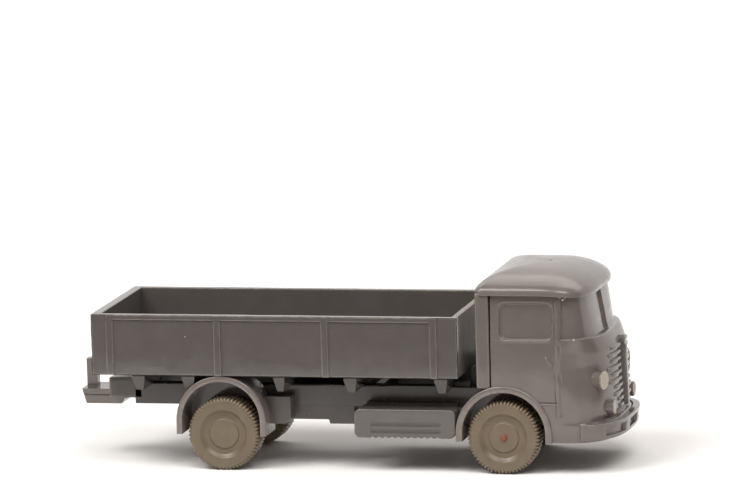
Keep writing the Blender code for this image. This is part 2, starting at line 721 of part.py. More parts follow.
def make_axle(name, x, made_of, parent):
    half = WHEEL_OUTER_Y - 0.1
    outline = circle(x, AXLE_Z, AXLE_RADIUS, 24)
    tip = circle(x, AXLE_Z, AXLE_RADIUS * 0.8, 24)
    rings = []
    for y, shape in ((-half, tip), (-half + 0.12, outline), (half - 0.12, outline), (half, tip)):
        rings.append([(a, y, b) for a, b in shape])
    return finish(loft(name, rings), made_of, parent, True)


def main():
    clear_scene()
    grey = material("slate_plastic", (0.135, 0.122, 0.118), 0.5, 0.0)
    olive = material("olive_plastic", (0.165, 0.142, 0.1), 0.55, 0.0)
    silver = material("silver_paint", (0.52, 0.5, 0.46), 0.4, 0.3)
    steel = material("rusty_steel", (0.25, 0.12, 0.07), 0.6, 0.7)
    make_chassis(grey)
    make_coupling(grey)
    make_floor(grey)
    make_side_board("side_board_left", 1, grey)
    make_side_board("side_board_right", -1, grey)
    make_end_board("tailboard", BED_REAR, -1, grey)
    make_end_board("headboard", BED_FRONT - WALL_END, 1, grey)
    make_guards(grey)
    make_side_boxes(grey)
    make_cab(grey)
    make_cab_back(grey)
    make_grille(grey)
    make_lamps(silver, grey)
    make_bumper(grey)
    for label, x, width in (("front", FRONT_AXLE_X, FRONT_WHEEL_WIDTH), ("rear", REAR_AXLE_X, REAR_WHEEL_WIDTH)):
        point = turning_point(label + "_axle_point", x)
        make_axle(label + "_axle", x, steel, point)
        make_wheel(label + "_wheel_left", x, 1, width, olive, point)
        make_wheel(label + "_wheel_right", x, -1, width, olive, point)


main()
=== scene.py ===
import math

import bmesh
import bpy
import numpy as np
from mathutils import Matrix, Vector


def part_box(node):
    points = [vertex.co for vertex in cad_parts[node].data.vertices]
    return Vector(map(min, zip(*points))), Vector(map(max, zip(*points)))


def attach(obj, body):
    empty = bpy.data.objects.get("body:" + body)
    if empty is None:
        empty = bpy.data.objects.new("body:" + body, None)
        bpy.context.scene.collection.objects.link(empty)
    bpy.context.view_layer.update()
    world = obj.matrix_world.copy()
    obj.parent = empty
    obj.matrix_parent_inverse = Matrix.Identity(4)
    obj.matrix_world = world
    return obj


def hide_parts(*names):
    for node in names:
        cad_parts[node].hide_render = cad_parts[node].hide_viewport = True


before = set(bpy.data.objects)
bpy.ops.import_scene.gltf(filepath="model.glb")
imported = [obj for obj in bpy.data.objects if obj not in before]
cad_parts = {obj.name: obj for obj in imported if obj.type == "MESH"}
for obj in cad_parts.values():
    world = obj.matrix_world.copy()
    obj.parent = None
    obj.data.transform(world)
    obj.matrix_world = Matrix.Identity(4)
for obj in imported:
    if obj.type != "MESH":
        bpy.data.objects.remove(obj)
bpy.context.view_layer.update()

MM = 0.001

def box(node):
    """The low and the high corner of a CAD node, in millimetres."""
    return [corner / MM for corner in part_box(node)]


# Places in millimetres, read from the frame
FLOOR_LOW = box("bed_floor")[0]
BOARD_LOW, BOARD_HIGH = box("side_board_left")
TAIL_LOW, TAIL_HIGH = box("tailboard")
HEAD_LOW, HEAD_HIGH = box("headboard")
BOX_LOW, BOX_HIGH = box("side_box_left")
CAB_LOW = box("cab_shell")[0]
BUMPER_LOW, BUMPER_HIGH = box("front_bumper")
FRAME_LOW, FRAME_HIGH = box("chassis_frame")
REAR_GUARD_LOW, REAR_GUARD_HIGH = box("rear_mudguard_left")
FRONT_GUARD_LOW, FRONT_GUARD_HIGH = box("front_mudguard_left")
WHEELS = {}
for wheel in ("front_wheel_left", "front_wheel_right", "rear_wheel_left", "rear_wheel_right"):
    WHEELS[wheel] = box(wheel)

HALF_WIDTH = BOARD_HIGH.y
BOARD_LENGTH = BOARD_HIGH.x - BOARD_LOW.x
BOARD_FRONT = BOARD_HIGH.x - 0.45
CAB_HALF = HALF_WIDTH - 0.6
CAB_REAR = box("cab_roof_and_back")[0].x
CAB_LENGTH = BUMPER_HIGH.x - CAB_REAR
CAB_BOTTOM = CAB_LOW.z
CAB_TOP = 28.65
CAB_HEIGHT = CAB_TOP - CAB_BOTTOM
CAB_WALL = 0.9
DOOR_X = CAB_REAR + 13.0
WHEEL_RADIUS = WHEELS["front_wheel_left"][1].z / 2
AXLE_Z = WHEEL_RADIUS
FRONT_AXLE_X = (WHEELS["front_wheel_left"][0].x + WHEELS["front_wheel_left"][1].x) / 2
REAR_AXLE_X = (WHEELS["rear_wheel_left"][0].x + WHEELS["rear_wheel_left"][1].x) / 2
WHEELBASE = FRONT_AXLE_X - REAR_AXLE_X

# Mudguards: centre, outer radius, wall, and the inner edge's distance from the middle
FRONT_GUARD_X = FRONT_AXLE_X + 0.1
FRONT_GUARD_R = (FRONT_GUARD_HIGH.x - FRONT_GUARD_LOW.x) / 2
FRONT_GUARD_Z = FRONT_GUARD_HIGH.z - FRONT_GUARD_R
FRONT_GUARD_WALL = 1.05
FRONT_GUARD_INNER = 7.1
REAR_GUARD_X = REAR_AXLE_X - 0.3
REAR_GUARD_R = (REAR_GUARD_HIGH.x - REAR_GUARD_LOW.x) / 2
REAR_GUARD_Z = REAR_GUARD_HIGH.z - REAR_GUARD_R
REAR_GUARD_WALL = 0.95
REAR_GUARD_INNER = 7.0

# Places on the CAD frame, and how far the photo's frame and coupling differ from them
FRAME_REAR, FRAME_TOP = FRAME_LOW.x, FRAME_HIGH.z
RAIL_BOTTOM = FRAME_TOP - 4.0
GEAR_BOTTOM = RAIL_BOTTOM - 2.2
GEAR_REAR = REAR_AXLE_X + 0.16 * WHEELBASE
GEAR_FRONT = REAR_AXLE_X + 0.43 * WHEELBASE
STEP_MID = REAR_AXLE_X + 0.1965 * WHEELBASE
STEP_SIDE = 10.0
STEP_REARWARD = 1.5
GEAR_SIDE = 6.7
GEAR_FORWARD = 0.9
FRAME_END_FORWARD = 3.25
TOW_BAR_FORWARD = 1.0
REAR_PIN_SHARE = 0.95
# Points that sink: their height, the reach round it, the fall
LOWERED = {"chassis_frame": (FRAME_TOP, 0.06, 0.75), "bed_floor": (FLOOR_LOW.z, 0.3, 0.75)}

# Cab outline in plan, as shares: height, start of the corner, front, half width; then how full the corner is
CAB_STATIONS = np.array((
    (0.0, 0.55, 0.93, 0.985, 3.0),
    (0.09, 0.55, 0.945, 1.0, 3.0),
    (0.118, 0.55, 0.943, 1.0, 3.0),
    (0.135, 0.54, 0.912, 1.0, 3.0),
    (0.19, 0.53, 0.93, 1.0, 3.0),
    (0.37, 0.52, 0.922, 1.0, 2.9),
    (0.51, 0.51, 0.915, 1.0, 2.62),
    (0.60, 0.51, 0.914, 1.0, 2.6),
    (0.655, 0.51, 0.892, 1.0, 2.75),
    (0.698, 0.51, 0.862, 0.998, 3.05),
    (0.704, 0.51, 0.832, 0.995, 3.6),
    (0.82, 0.50, 0.808, 0.98, 4.0),
    (1.0, 0.49, 0.778, 0.962, 4.5),
))
# Roof outline in plan, as shares: rise, rear, start of the corner, front, half width
ROOF_STATIONS = np.array((
    (0.0, 0.0, 0.49, 0.795, 1.018),
    (0.16, 0.0, 0.49, 0.798, 1.016),
    (0.34, 0.012, 0.48, 0.79, 0.985),
    (0.52, 0.038, 0.47, 0.765, 0.905),
    (0.70, 0.088, 0.46, 0.72, 0.79),
    (0.84, 0.15, 0.45, 0.66, 0.64),
    (0.94, 0.23, 0.43, 0.59, 0.45),
    (0.992, 0.34, 0.41, 0.50, 0.19),
))
ROOF_RISE = 3.6
ROOF_DROOP = 0.6

# Moulded detail on the cab's sides; the x of the handle and the screen's rear edge start at the door's edge
WINDOW = (30.35, 24.55, 4.2, 2.85, 1.05)
HANDLE = (-1.65, 18.75, -0.75, 17.55)
DOOR_BOTTOM, DOOR_TOP = 9.3, 28.0
SCREEN_REAR, SCREEN_POST, SCREEN_BOTTOM = 0.62, 0.55, 21.62
SILL_REAR, SILL_Z = 32.2, 11.55
# Nose trim: lamps and boss as shares of the half width and the cab's height, then how proud they stand
HEADLAMP = (0.78, 0.411, 1.17)
LOWER_LAMP = (0.62, 0.215, 0.9)
BOSS = (0.0, 0.62, 0.85)
LAMP_SPLAY = 14.0
# Grille slats from the top: how far each reaches from the middle
SLAT_TOP = 19.25
SLAT_PITCH = 1.05
SLATS = (6.2, 7.3, 6.6, 7.8, 6.6, 7.7, 5.9, 6.4, 4.7, 4.2)
# Bumper recesses: distance from the middle, half length
BUMPER_WALL = 1.15
BUMPER_SLOTS = ((0.0, 2.9), (8.3, 2.9))
# Posts of a side board, as shares of its length
POSTS = (0.0507, 0.344, 0.636, 0.928)
TEETH = 60
TOOTH_DEPTH = {"front_wheelset": 0.34, "rear_wheelset": 0.27}
# Chips and blobs of old glue seen in the photo: place and radius
SPECKS = (
    (BOARD_LOW.x + 0.2574 * BOARD_LENGTH, 0.22 - HALF_WIDTH, 21.6, 0.1),
    (CAB_REAR + 0.69 * CAB_LENGTH, -0.962 * CAB_HALF, 21.6, 0.12),
    (CAB_REAR + 0.62 * CAB_LENGTH, -0.975 * CAB_HALF, 28.05, 0.17),
    (CAB_REAR + 0.6 * CAB_LENGTH, -0.975 * CAB_HALF, 28.4, 0.13),
    (CAB_REAR + 0.635 * CAB_LENGTH, -0.972 * CAB_HALF, 28.3, 0.11),
)

# Studio, in metres and watts: name, place, size and power of each lamp
LAMPS = (
    ("left_softbox", (-0.38, -0.42, 0.75), (0.5, 0.5), 6.0),
    ("right_softbox", (0.30, -0.45, 0.75), (0.5, 0.5), 4.2),
    ("top_softbox", (0.0, 0.42, 0.58), (1.1, 0.3), 1.4),
)
LAMP_AIM = (0.0, 0.0, 0.01)
LAMP_COLOUR = (1.0, 0.99, 0.975)
ROOM_COLOUR = (1.0, 0.93, 0.87, 1.0)
ROOM_DIM = 0.42
MIRROR_COLOUR = (1.0, 0.98, 0.955, 1.0)
MIRROR_DARK = 0.08
PAPER_LEFT, PAPER_RIGHT = -0.4, 0.17
PAPER_FRONT, PAPER_BACK = -0.104, 0.21


# Numbers
def step(value, low, high):
    t = np.clip((value - low) / (high - low), 0.0, 1.0)
    return t * t * (3 - 2 * t)


def bump(value, centre, half, soft):
    return step(value, centre - half - soft, centre - half) * (1 - step(value, centre + half, centre + half + soft))


def smooth_table(table, at):
    """Every column of a table at the places given, without overshoot."""
    x = table[:, 0]
    y = table[:, 1:]
    gap = np.diff(x)[:, None]
    slope = np.diff(y, axis=0) / gap
    tangent = np.zeros_like(y)
    same = slope[:-1] * slope[1:] > 0
    mean = 2 * slope[:-1] * slope[1:] / np.where(same, slope[:-1] + slope[1:], 1.0)
    tangent[1:-1] = np.where(same, mean, 0.0)
    tangent[0] = slope[0]
    tangent[-1] = slope[-1]
    place = np.clip(np.searchsorted(x, at, side="right") - 1, 0, len(x) - 2)
    h = gap[place]
    t = ((at - x[place]) / gap[place, 0])[:, None]
    a, b = y[place], y[place + 1]
    m, n = tangent[place] * h, tangent[place + 1] * h
    return (2 * t**3 - 3 * t**2 + 1) * a + (t**3 - 2 * t**2 + t) * m + (3 * t**2 - 2 * t**3) * b + (t**3 - t**2) * n


def spread(low, high, count, crowds=()):
    """Numbers from low to high, closer together round each (centre, half width, weight)."""
    fine = np.linspace(low, high, 4000)
    weight = np.ones_like(fine)
    for centre, half, extra in crowds:
        weight += extra * np.exp(-(((fine - centre) / half) ** 2))
    total = np.concatenate(([0.0], np.cumsum((weight[1:] + weight[:-1]) / 2)))
    return np.interp(np.linspace(0, total[-1], count), total, fine)


def rounded_box_distance(a, b, ca, cb, ha, hb, radius):
    qa = np.abs(a - ca) - (ha - radius)
    qb = np.abs(b - cb) - (hb - radius)
    outside = np.hypot(np.maximum(qa, 0), np.maximum(qb, 0))
    return outside + np.minimum(np.maximum(qa, qb), 0) - radius


def capsule_distance(a, b, a0, b0, a1, b1):
    da, db = a1 - a0, b1 - b0
    t = np.clip(((a - a0) * da + (b - b0) * db) / (da * da + db * db), 0, 1)
    return np.hypot(a - a0 - t * da, b - b0 - t * db)


def lumps(a, b, seed, size):
    """A smooth uneven field between about -1 and 1."""
    made = np.zeros_like(a)
    turn = seed * 1.7
    for k in range(6):
        angle = turn + k * 2.4
        wave = (1.0 + 0.55 * k) / size
        made += np.sin((a * math.cos(angle) + b * math.sin(angle)) * wave * 2 + seed * (k + 1)) / (1 + 0.5 * k)
    return made / 2.6


# Meshes
def grid_faces(rows, cols, closed=False):
    r, c = np.meshgrid(np.arange(rows - 1), np.arange(cols if closed else cols - 1), indexing="ij")
    a = r * cols + c
    b = r * cols + (c + 1) % cols
    return np.stack((a, b, b + cols, a + cols), axis=-1).reshape(-1, 4)


def tube_faces(rows, count):
    """Faces between closed rings, with both ends capped."""
    faces = [list(quad) for quad in grid_faces(rows, count, True)]
    return faces + [list(range(count)), list(range((rows - 1) * count, rows * count))]


def link(name, data):
    made = bpy.data.objects.new(name, data)
    bpy.context.scene.collection.objects.link(made)
    return made


def mark_wear(mesh, flat=None):
    """Sets the attribute wear to 1 at narrow convex edges, 0 on flats and at the points given as flat."""
    reach = 0.16
    count = len(mesh.vertices)
    co = np.zeros(count * 3)
    mesh.vertices.foreach_get("co", co)
    co = co.reshape(-1, 3) / MM
    normal = np.zeros(count * 3)
    mesh.vertices.foreach_get("normal", normal)
    normal = normal.reshape(-1, 3)
    edges = np.zeros(len(mesh.edges) * 2, int)
    mesh.edges.foreach_get("vertices", edges)
    a, b = edges.reshape(-1, 2).T
    d = co[b] - co[a]
    length = np.linalg.norm(d, axis=1) + 1e-9
    bend = ((normal[b] - normal[a]) * d).sum(1) / length**2 * reach
    bend = np.clip(bend, -1.5, 1.5)
    near = np.exp(-length / reach)
    total = np.zeros(count)
    weight = np.zeros(count) + 1e-9
    for end in (a, b):
        np.add.at(total, end, bend * near)
        np.add.at(weight, end, near)
    wear = np.clip(total / weight, 0, 1)
    if flat is not None:
        wear = np.where(flat, 0.0, step(wear, 0.0, 0.3))
    attribute = mesh.attributes.new("wear", "FLOAT", "POINT")
    attribute.data.foreach_set("value", wear.astype(np.float32))


def piece(name, verts, faces, material, nodes=(), body="truck", angle=40.0, thickness=0.0, wear=True):
    """A piece of the truck from points in millimetres."""
    mesh = bpy.data.meshes.new(name)
    mesh.from_pydata((np.asarray(verts, float) * MM).tolist(), [], [list(map(int, f)) for f in faces])
    mesh.validate()
    work = bmesh.new()
    work.from_mesh(mesh)
    bmesh.ops.recalc_face_normals(work, faces=work.faces)
    work.to_mesh(mesh)
    work.free()
    return settle(name, mesh, material, nodes, body, angle, thickness, wear)


def settle(name, mesh, material, nodes, body, angle=40.0, thickness=0.0, wear=True, flat=None):
    made = link(name, mesh)
    if thickness:
        shell = made.modifiers.new("wall", "SOLIDIFY")
        shell.thickness = thickness * MM
        shell.offset = -1.0
        mesh = apply_modifiers(made)
    mesh.polygons.foreach_set("use_smooth", [True] * len(mesh.polygons))
    if angle:
        mesh.set_sharp_from_angle(angle=math.radians(angle))
    if wear:
        mark_wear(mesh, flat)
    mesh.materials.clear()
    mesh.materials.append(material)
    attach(made, body)
    if nodes:
        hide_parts(*nodes)
    return made


def apply_modifiers(made):
    bpy.context.view_layer.update()
    graph = bpy.context.evaluated_depsgraph_get()
    mesh = bpy.data.meshes.new_from_object(made.evaluated_get(graph))
    made.modifiers.clear()
    made.data = mesh
    return mesh


def refit(node, mesh):
    """Moves points of a copied CAD mesh to where the photo shows them."""
    for vert in mesh.vertices:
        x, y, z = vert.co / MM
        if node in LOWERED:
            at, reach, fall = LOWERED[node]
            if abs(z - at) < reach:
                vert.co.z -= fall * MM
                z -= fall
        if node == "chassis_frame":
            if abs(y) > 8.0 and z > GEAR_BOTTOM - 1.0 and x < 0:
                vert.co.y = math.copysign(STEP_SIDE, y) * MM
                vert.co.x -= STEP_REARWARD * MM * (x < STEP_MID)
            if x < FRAME_REAR + 1.5:
                vert.co.x += FRAME_END_FORWARD * MM
            if GEAR_REAR < x < GEAR_FRONT + 0.5 and z < RAIL_BOTTOM + 0.25 and 5.5 < abs(y) < 6.5:
                vert.co.y = math.copysign(GEAR_SIDE, y) * MM
                vert.co.x += GEAR_FORWARD * MM * (abs(x - GEAR_FRONT) < 0.8)
        if node == "tow_coupling" and abs(y) > 2.9 and x > FRAME_REAR - 1.2:
            vert.co.x += TOW_BAR_FORWARD * MM
        if node == "rear_axle":
            vert.co.y *= REAR_PIN_SHARE


def softened(node, material, width, body="truck"):
    """A copy of a CAD node, refitted to the photo, with its edges rounded."""
    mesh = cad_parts[node].data.copy()
    refit(node, mesh)
    work = bmesh.new()
    work.from_mesh(mesh)
    bmesh.ops.remove_doubles(work, verts=work.verts, dist=2e-6)
    bmesh.ops.dissolve_limit(work, angle_limit=math.radians(1.0), verts=work.verts, edges=work.edges)
    work.to_mesh(mesh)
    work.free()
    mesh.materials.clear()
    mesh.materials.append(material)
    mesh.materials.append(material)
    mesh.polygons.foreach_set("material_index", [0] * len(mesh.polygons))
    mesh.polygons.foreach_set("use_smooth", [True] * len(mesh.polygons))
    made = link(node, mesh)
    round_off = made.modifiers.new("round", "BEVEL")
    round_off.width = width * MM
    round_off.segments = 2
    round_off.limit_method = "ANGLE"
    round_off.angle_limit = math.radians(28.0)
    round_off.material = 1
    triangles = made.modifiers.new("triangles", "TRIANGULATE")
    triangles.min_vertices = 5
    flatter = made.modifiers.new("flatter", "WEIGHTED_NORMAL")
    flatter.weight = 60
    mesh = apply_modifiers(made)
    bpy.data.objects.remove(made)
    flat = np.zeros(len(mesh.vertices), bool)
    for face in mesh.polygons:
        if face.material_index == 0:
            flat[list(face.vertices)] = True
    mesh.polygons.foreach_set("material_index", [0] * len(mesh.polygons))
    return settle(node + "_moulding", mesh, material, (node,), body, None, wear=node not in LOWERED, flat=flat)


def block(name, low, high, radius, spacing, material, nodes=(), shape=None, crowds=((), (), ())):
    """A box with rounded edges on a fine grid; shape moves its points, given place and side."""
    axes = []
    for k in range(3):
        size = high[k] - low[k]
        edge = np.linspace(0, radius, 4)
        count = max(2, int(round((size - 2 * radius) / spacing[k])) + 1)
        middle = spread(low[k] + radius, high[k] - radius, count, crowds[k])
        axes.append(np.concatenate((low[k] + edge[:-1], middle, high[k] - edge[:-1][::-1])))
    parts, faces, start = [], [], 0
    for k in range(3):
        u, v = [i for i in range(3) if i != k]
        for end in (low[k], high[k]):
            a, b = np.meshgrid(axes[u], axes[v], indexing="ij")
            points = np.zeros(a.shape + (3,))
            points[..., u] = a
            points[..., v] = b
            points[..., k] = end
            faces.append(grid_faces(*a.shape) + start)
            start += a.size
            parts.append(points.reshape(-1, 3))
    points = np.concatenate(parts)
    inner = np.clip(points, np.array(low) + radius, np.array(high) - radius)
    away = points - inner
    length = np.linalg.norm(away, axis=1, keepdims=True)
    points = inner + away * radius / np.maximum(length, 1e-9)
    keys = np.round(points, 5)
    _, first, inverse = np.unique(keys, axis=0, return_index=True, return_inverse=True)
    inverse = inverse.reshape(-1)
    faces = inverse[np.concatenate(faces)]
    points = points[first]
    normal = (away / np.maximum(length, 1e-9))[first]
    if shape is not None:
        points = shape(points, normal)
    return piece(name, points, faces, material, nodes)


def lathe(profile, count):
    """Rings of points round the Y axis: profile rows are (radius, y)."""
    angles = np.linspace(0, 2 * math.pi, count, endpoint=False)
    r = np.array([row[0] for row in profile])[:, None]
    y = np.array([row[1] for row in profile])[:, None]
    return np.stack((r * np.cos(angles), y + 0 * angles, r * np.sin(angles)), axis=-1)


def soft_line(corners, radius=0.12, steps=4):
    """The corners of an open line, each turned into a short arc."""
    made = [np.array(corners[0], float)]
    for before, here, after in zip(corners[:-2], corners[1:-1], corners[2:]):
        before, here, after = (np.array(p, float) for p in (before, here, after))
        a, b = before - here, after - here
        reach = min(radius, np.linalg.norm(a) / 2.2, np.linalg.norm(b) / 2.2)
        start = here + a / np.linalg.norm(a) * reach
        end = here + b / np.linalg.norm(b) * reach
        for t in np.linspace(0, 1, steps + 1):
            made.append((1 - t) ** 2 * start + 2 * t * (1 - t) * here + t * t * end)
    made.append(np.array(corners[-1], float))
    return made


# Materials
def srgb(red, green, blue):
    made = []
    for value in (red, green, blue):
        value /= 255
        made.append(value / 12.92 if value <= 0.04045 else ((value + 0.055) / 1.055) ** 2.4)
    return (*made, 1.0)


class Nodes:
    """A new material and short ways to add nodes to it."""

    def __init__(self, name):
        self.material = bpy.data.materials.new(name)
        self.material.use_nodes = True
        self.tree = self.material.node_tree
        self.shader = self.tree.nodes["Principled BSDF"]
        self.place = self.tree.nodes.new("ShaderNodeTexCoord").outputs["Object"]

    def put(self, socket, value):
        if isinstance(value, bpy.types.NodeSocket):
            self.tree.links.new(value, socket)
        else:
            socket.default_value = value

    def noise(self, scale, detail=3.0, rough=0.5, low=0.3, high=0.7):
        """Noise of a size per metre, stretched so that low to high becomes 0 to 1."""
        made = self.tree.nodes.new("ShaderNodeTexNoise")
        self.put(made.inputs["Vector"], self.place)
        made.inputs["Scale"].default_value = scale
        made.inputs["Detail"].default_value = detail
        made.inputs["Roughness"].default_value = rough
        return self.range(made.outputs["Fac"], low, high, 0.0, 1.0)

    def range(self, value, a, b, c, d):
        made = self.tree.nodes.new("ShaderNodeMapRange")
        self.put(made.inputs["Value"], value)
        for socket, number in zip(("From Min", "From Max", "To Min", "To Max"), (a, b, c, d)):
            made.inputs[socket].default_value = number
        return made.outputs["Result"]

    def math(self, operation, a, b):
        made = self.tree.nodes.new("ShaderNodeMath")
        made.operation = operation
        self.put(made.inputs[0], a)
        self.put(made.inputs[1], b)
        return made.outputs[0]

    def mix(self, factor, a, b, blend="MIX"):
        made = self.tree.nodes.new("ShaderNodeMix")
        made.data_type = "RGBA"
        made.blend_type = blend
        self.put(made.inputs[0], factor)
        self.put(made.inputs[6], a)
        self.put(made.inputs[7], b)
        return made.outputs[2]

    def attribute(self, name):
        made = self.tree.nodes.new("ShaderNodeAttribute")
        made.attribute_name = name
        return made.outputs["Fac"]

    def bump(self, height, distance, strength=1.0):
        made = self.tree.nodes.new("ShaderNodeBump")
        made.inputs["Distance"].default_value = distance
        made.inputs["Strength"].default_value = strength
        self.put(made.inputs["Height"], height)
        self.put(self.shader.inputs["Normal"], made.outputs["Normal"])


def moulded(name, base, deep, pale, rough, metal=0.0, wear=0.32):
    """Moulded plastic: base and deep cloud into each other, and narrow edges wear to pale."""
    nodes = Nodes(name)
    cloud = nodes.noise(260.0, 4.0, 0.55, 0.3, 0.7)
    grain = nodes.noise(5200.0, 2.0, 0.6, 0.25, 0.75)
    tone = nodes.mix(cloud, srgb(*deep), srgb(*base))
    speck = nodes.range(grain, 0.0, 1.0, 0.93, 1.07)
    tone = nodes.mix(1.0, tone, nodes.mix(speck, (0, 0, 0, 1), (1, 1, 1, 1)), "MULTIPLY")
    patchy = nodes.noise(900.0, 3.0, 0.6, 0.2, 0.6)
    worn = nodes.math("MULTIPLY", nodes.range(nodes.attribute("wear"), 0.12, 0.7, 0.0, wear), patchy)
    tone = nodes.mix(worn, tone, srgb(*pale))
    nodes.put(nodes.shader.inputs["Base Color"], tone)
    dull = nodes.noise(420.0, 4.0, 0.6, 0.3, 0.7)
    nodes.put(nodes.shader.inputs["Roughness"], nodes.range(dull, 0.0, 1.0, rough - 0.03, rough + 0.08))
    nodes.shader.inputs["Metallic"].default_value = metal
    nodes.shader.inputs["Specular IOR Level"].default_value = 0.6
    fine = nodes.noise(2600.0, 3.0, 0.5, 0.2, 0.8)
    slow = nodes.noise(380.0, 2.0, 0.5, 0.2, 0.8)
    height = nodes.math("ADD", nodes.math("MULTIPLY", fine, 0.2), slow)
    nodes.bump(height, 0.000006, 0.5)
    return nodes.material


# Each has its colour, the darker colour that clouds it, the paler one at worn edges, and its roughness
WORN = (168, 158, 149)
SLATE = moulded("slate_moulding", (106, 98, 94), (100, 92, 88), WORN, 0.09)
BED_SLATE = moulded("bed_moulding", (89, 84, 82), (84, 79, 76), (166, 156, 147), 0.07)
OLIVE = moulded("olive_moulding", (110, 96, 77), (100, 87, 69), (146, 131, 108), 0.33, wear=0.25)
SILVER = moulded("silver_brushed_paint", (172, 161, 148), (150, 139, 126), (200, 192, 182), 0.42,
                 metal=0.25)
# The frame's slate is a darker copy: painted shade for the parts under the bed.
SHADED_FRAME_SLATE = moulded("frame_moulding_painted_shade", (80, 74, 70), (75, 69, 65), (150, 140, 131), 0.2)
# Near black slate for the riser and saddle: painted shade for the dark gap between bed, frame and cab.
PAINTED_SHADE_SLATE = moulded("inner_moulding_painted_shade", (58, 53, 49), (52, 48, 44), (120, 110, 101), 0.5, wear=0.0)
# The roof's slate is a lighter copy of the cab's: painted light for the brighter roof.
LIT_ROOF_SLATE = moulded("roof_moulding_painted_light", (112, 104, 100), (106, 98, 94), WORN, 0.17)
# The headboard's slate is a lighter, matter copy: painted light on its face in the shaded gap behind the cab.
LIT_END_SLATE = moulded("headboard_moulding", (124, 114, 106), (116, 106, 98), WORN, 0.4, wear=0.0)
PALE = moulded("pale_chip", (205, 196, 184), (180, 170, 158), (225, 218, 208), 0.5)
RUST = moulded("rusty_pin_steel", (150, 92, 66), (112, 66, 48), (150, 120, 100), 0.6, metal=0.5)


# Cab surface
def droop(x, share):
    along = np.maximum(0.0, (x - CAB_REAR - 0.4 * CAB_LENGTH) / (0.4 * CAB_LENGTH))
    return ROOF_DROOP * along**2 * np.clip((share - 0.8) / 0.2, 0.0, 1.0)


def plan_rows(rear, corner, front, half, fullness, count, crowds=()):
    """One row of points from the right rear, round the nose, to the left rear, for each height."""
    angles = np.linspace(-math.pi / 2, math.pi / 2, 1201)
    shares = spread(0.0, 1.0, count, crowds)
    rows = []
    for back, turn, tip, width, full in zip(rear, corner, front, half, fullness):
        x = turn + (tip - turn) * np.abs(np.cos(angles)) ** (2 / full)
        y = width * np.sign(np.sin(angles)) * np.abs(np.sin(angles)) ** (2 / full)
        x = np.concatenate(([back], x, [back]))
        y = np.concatenate(([-width], y, [width]))
        run = np.concatenate(([0.0], np.cumsum(np.hypot(np.diff(x), np.diff(y)))))
        run /= run[-1]
        rows.append(np.stack((np.interp(shares, run, x), np.interp(shares, run, y)), axis=-1))
    return np.array(rows)


def surface_normals(points):
    along = np.gradient(points, axis=1)
    up = np.gradient(points, axis=0)
    normal = np.cross(along, up)
    return normal / np.maximum(np.linalg.norm(normal, axis=-1, keepdims=True), 1e-9)


def cab_relief(x, y, z):
    """How far the moulded detail stands out from the plain cab surface."""
    side = step(np.abs(y), CAB_HALF * 0.9, CAB_HALF * 0.94)
    window = rounded_box_distance(x, z, *WINDOW)
    out = -0.38 * side * (1 - step(window, -0.12, 0.12))
    out += 0.05 * side * bump(window, 0.28, 0.08, 0.1)
    screen = step(x, DOOR_X + SCREEN_REAR, DOOR_X + SCREEN_REAR + 0.23)
    screen *= step(np.abs(y), SCREEN_POST, SCREEN_POST + 0.3) * step(z, SCREEN_BOTTOM, SCREEN_BOTTOM + 0.23)
    out -= 0.42 * screen
    door = side * step(z, DOOR_BOTTOM, DOOR_BOTTOM + 0.3) * (1 - step(z, DOOR_TOP, DOOR_TOP + 0.3))
    out += 0.1 * door * bump(x, DOOR_X + 0.15, 0.1, 0.12)
    out -= 0.12 * door * (bump(x, DOOR_X - 0.28, 0.03, 0.1) + bump(x, DOOR_X + 0.55, 0.03, 0.1))
    sill = side * step(x, SILL_REAR, SILL_REAR + 0.4) * (1 - step(x, DOOR_X, DOOR_X + 0.2))
    out -= 0.14 * sill * bump(z, SILL_Z, 0.04, 0.1)
    out += 0.07 * sill * bump(z, SILL_Z - 0.3, 0.08, 0.1)
    x0, z0, x1, z1 = HANDLE
    handle = capsule_distance(x, z, DOOR_X + x0, z0, DOOR_X + x1, z1)
    out += 0.3 * side * (1 - step(handle, 0.08, 0.26))
    return out


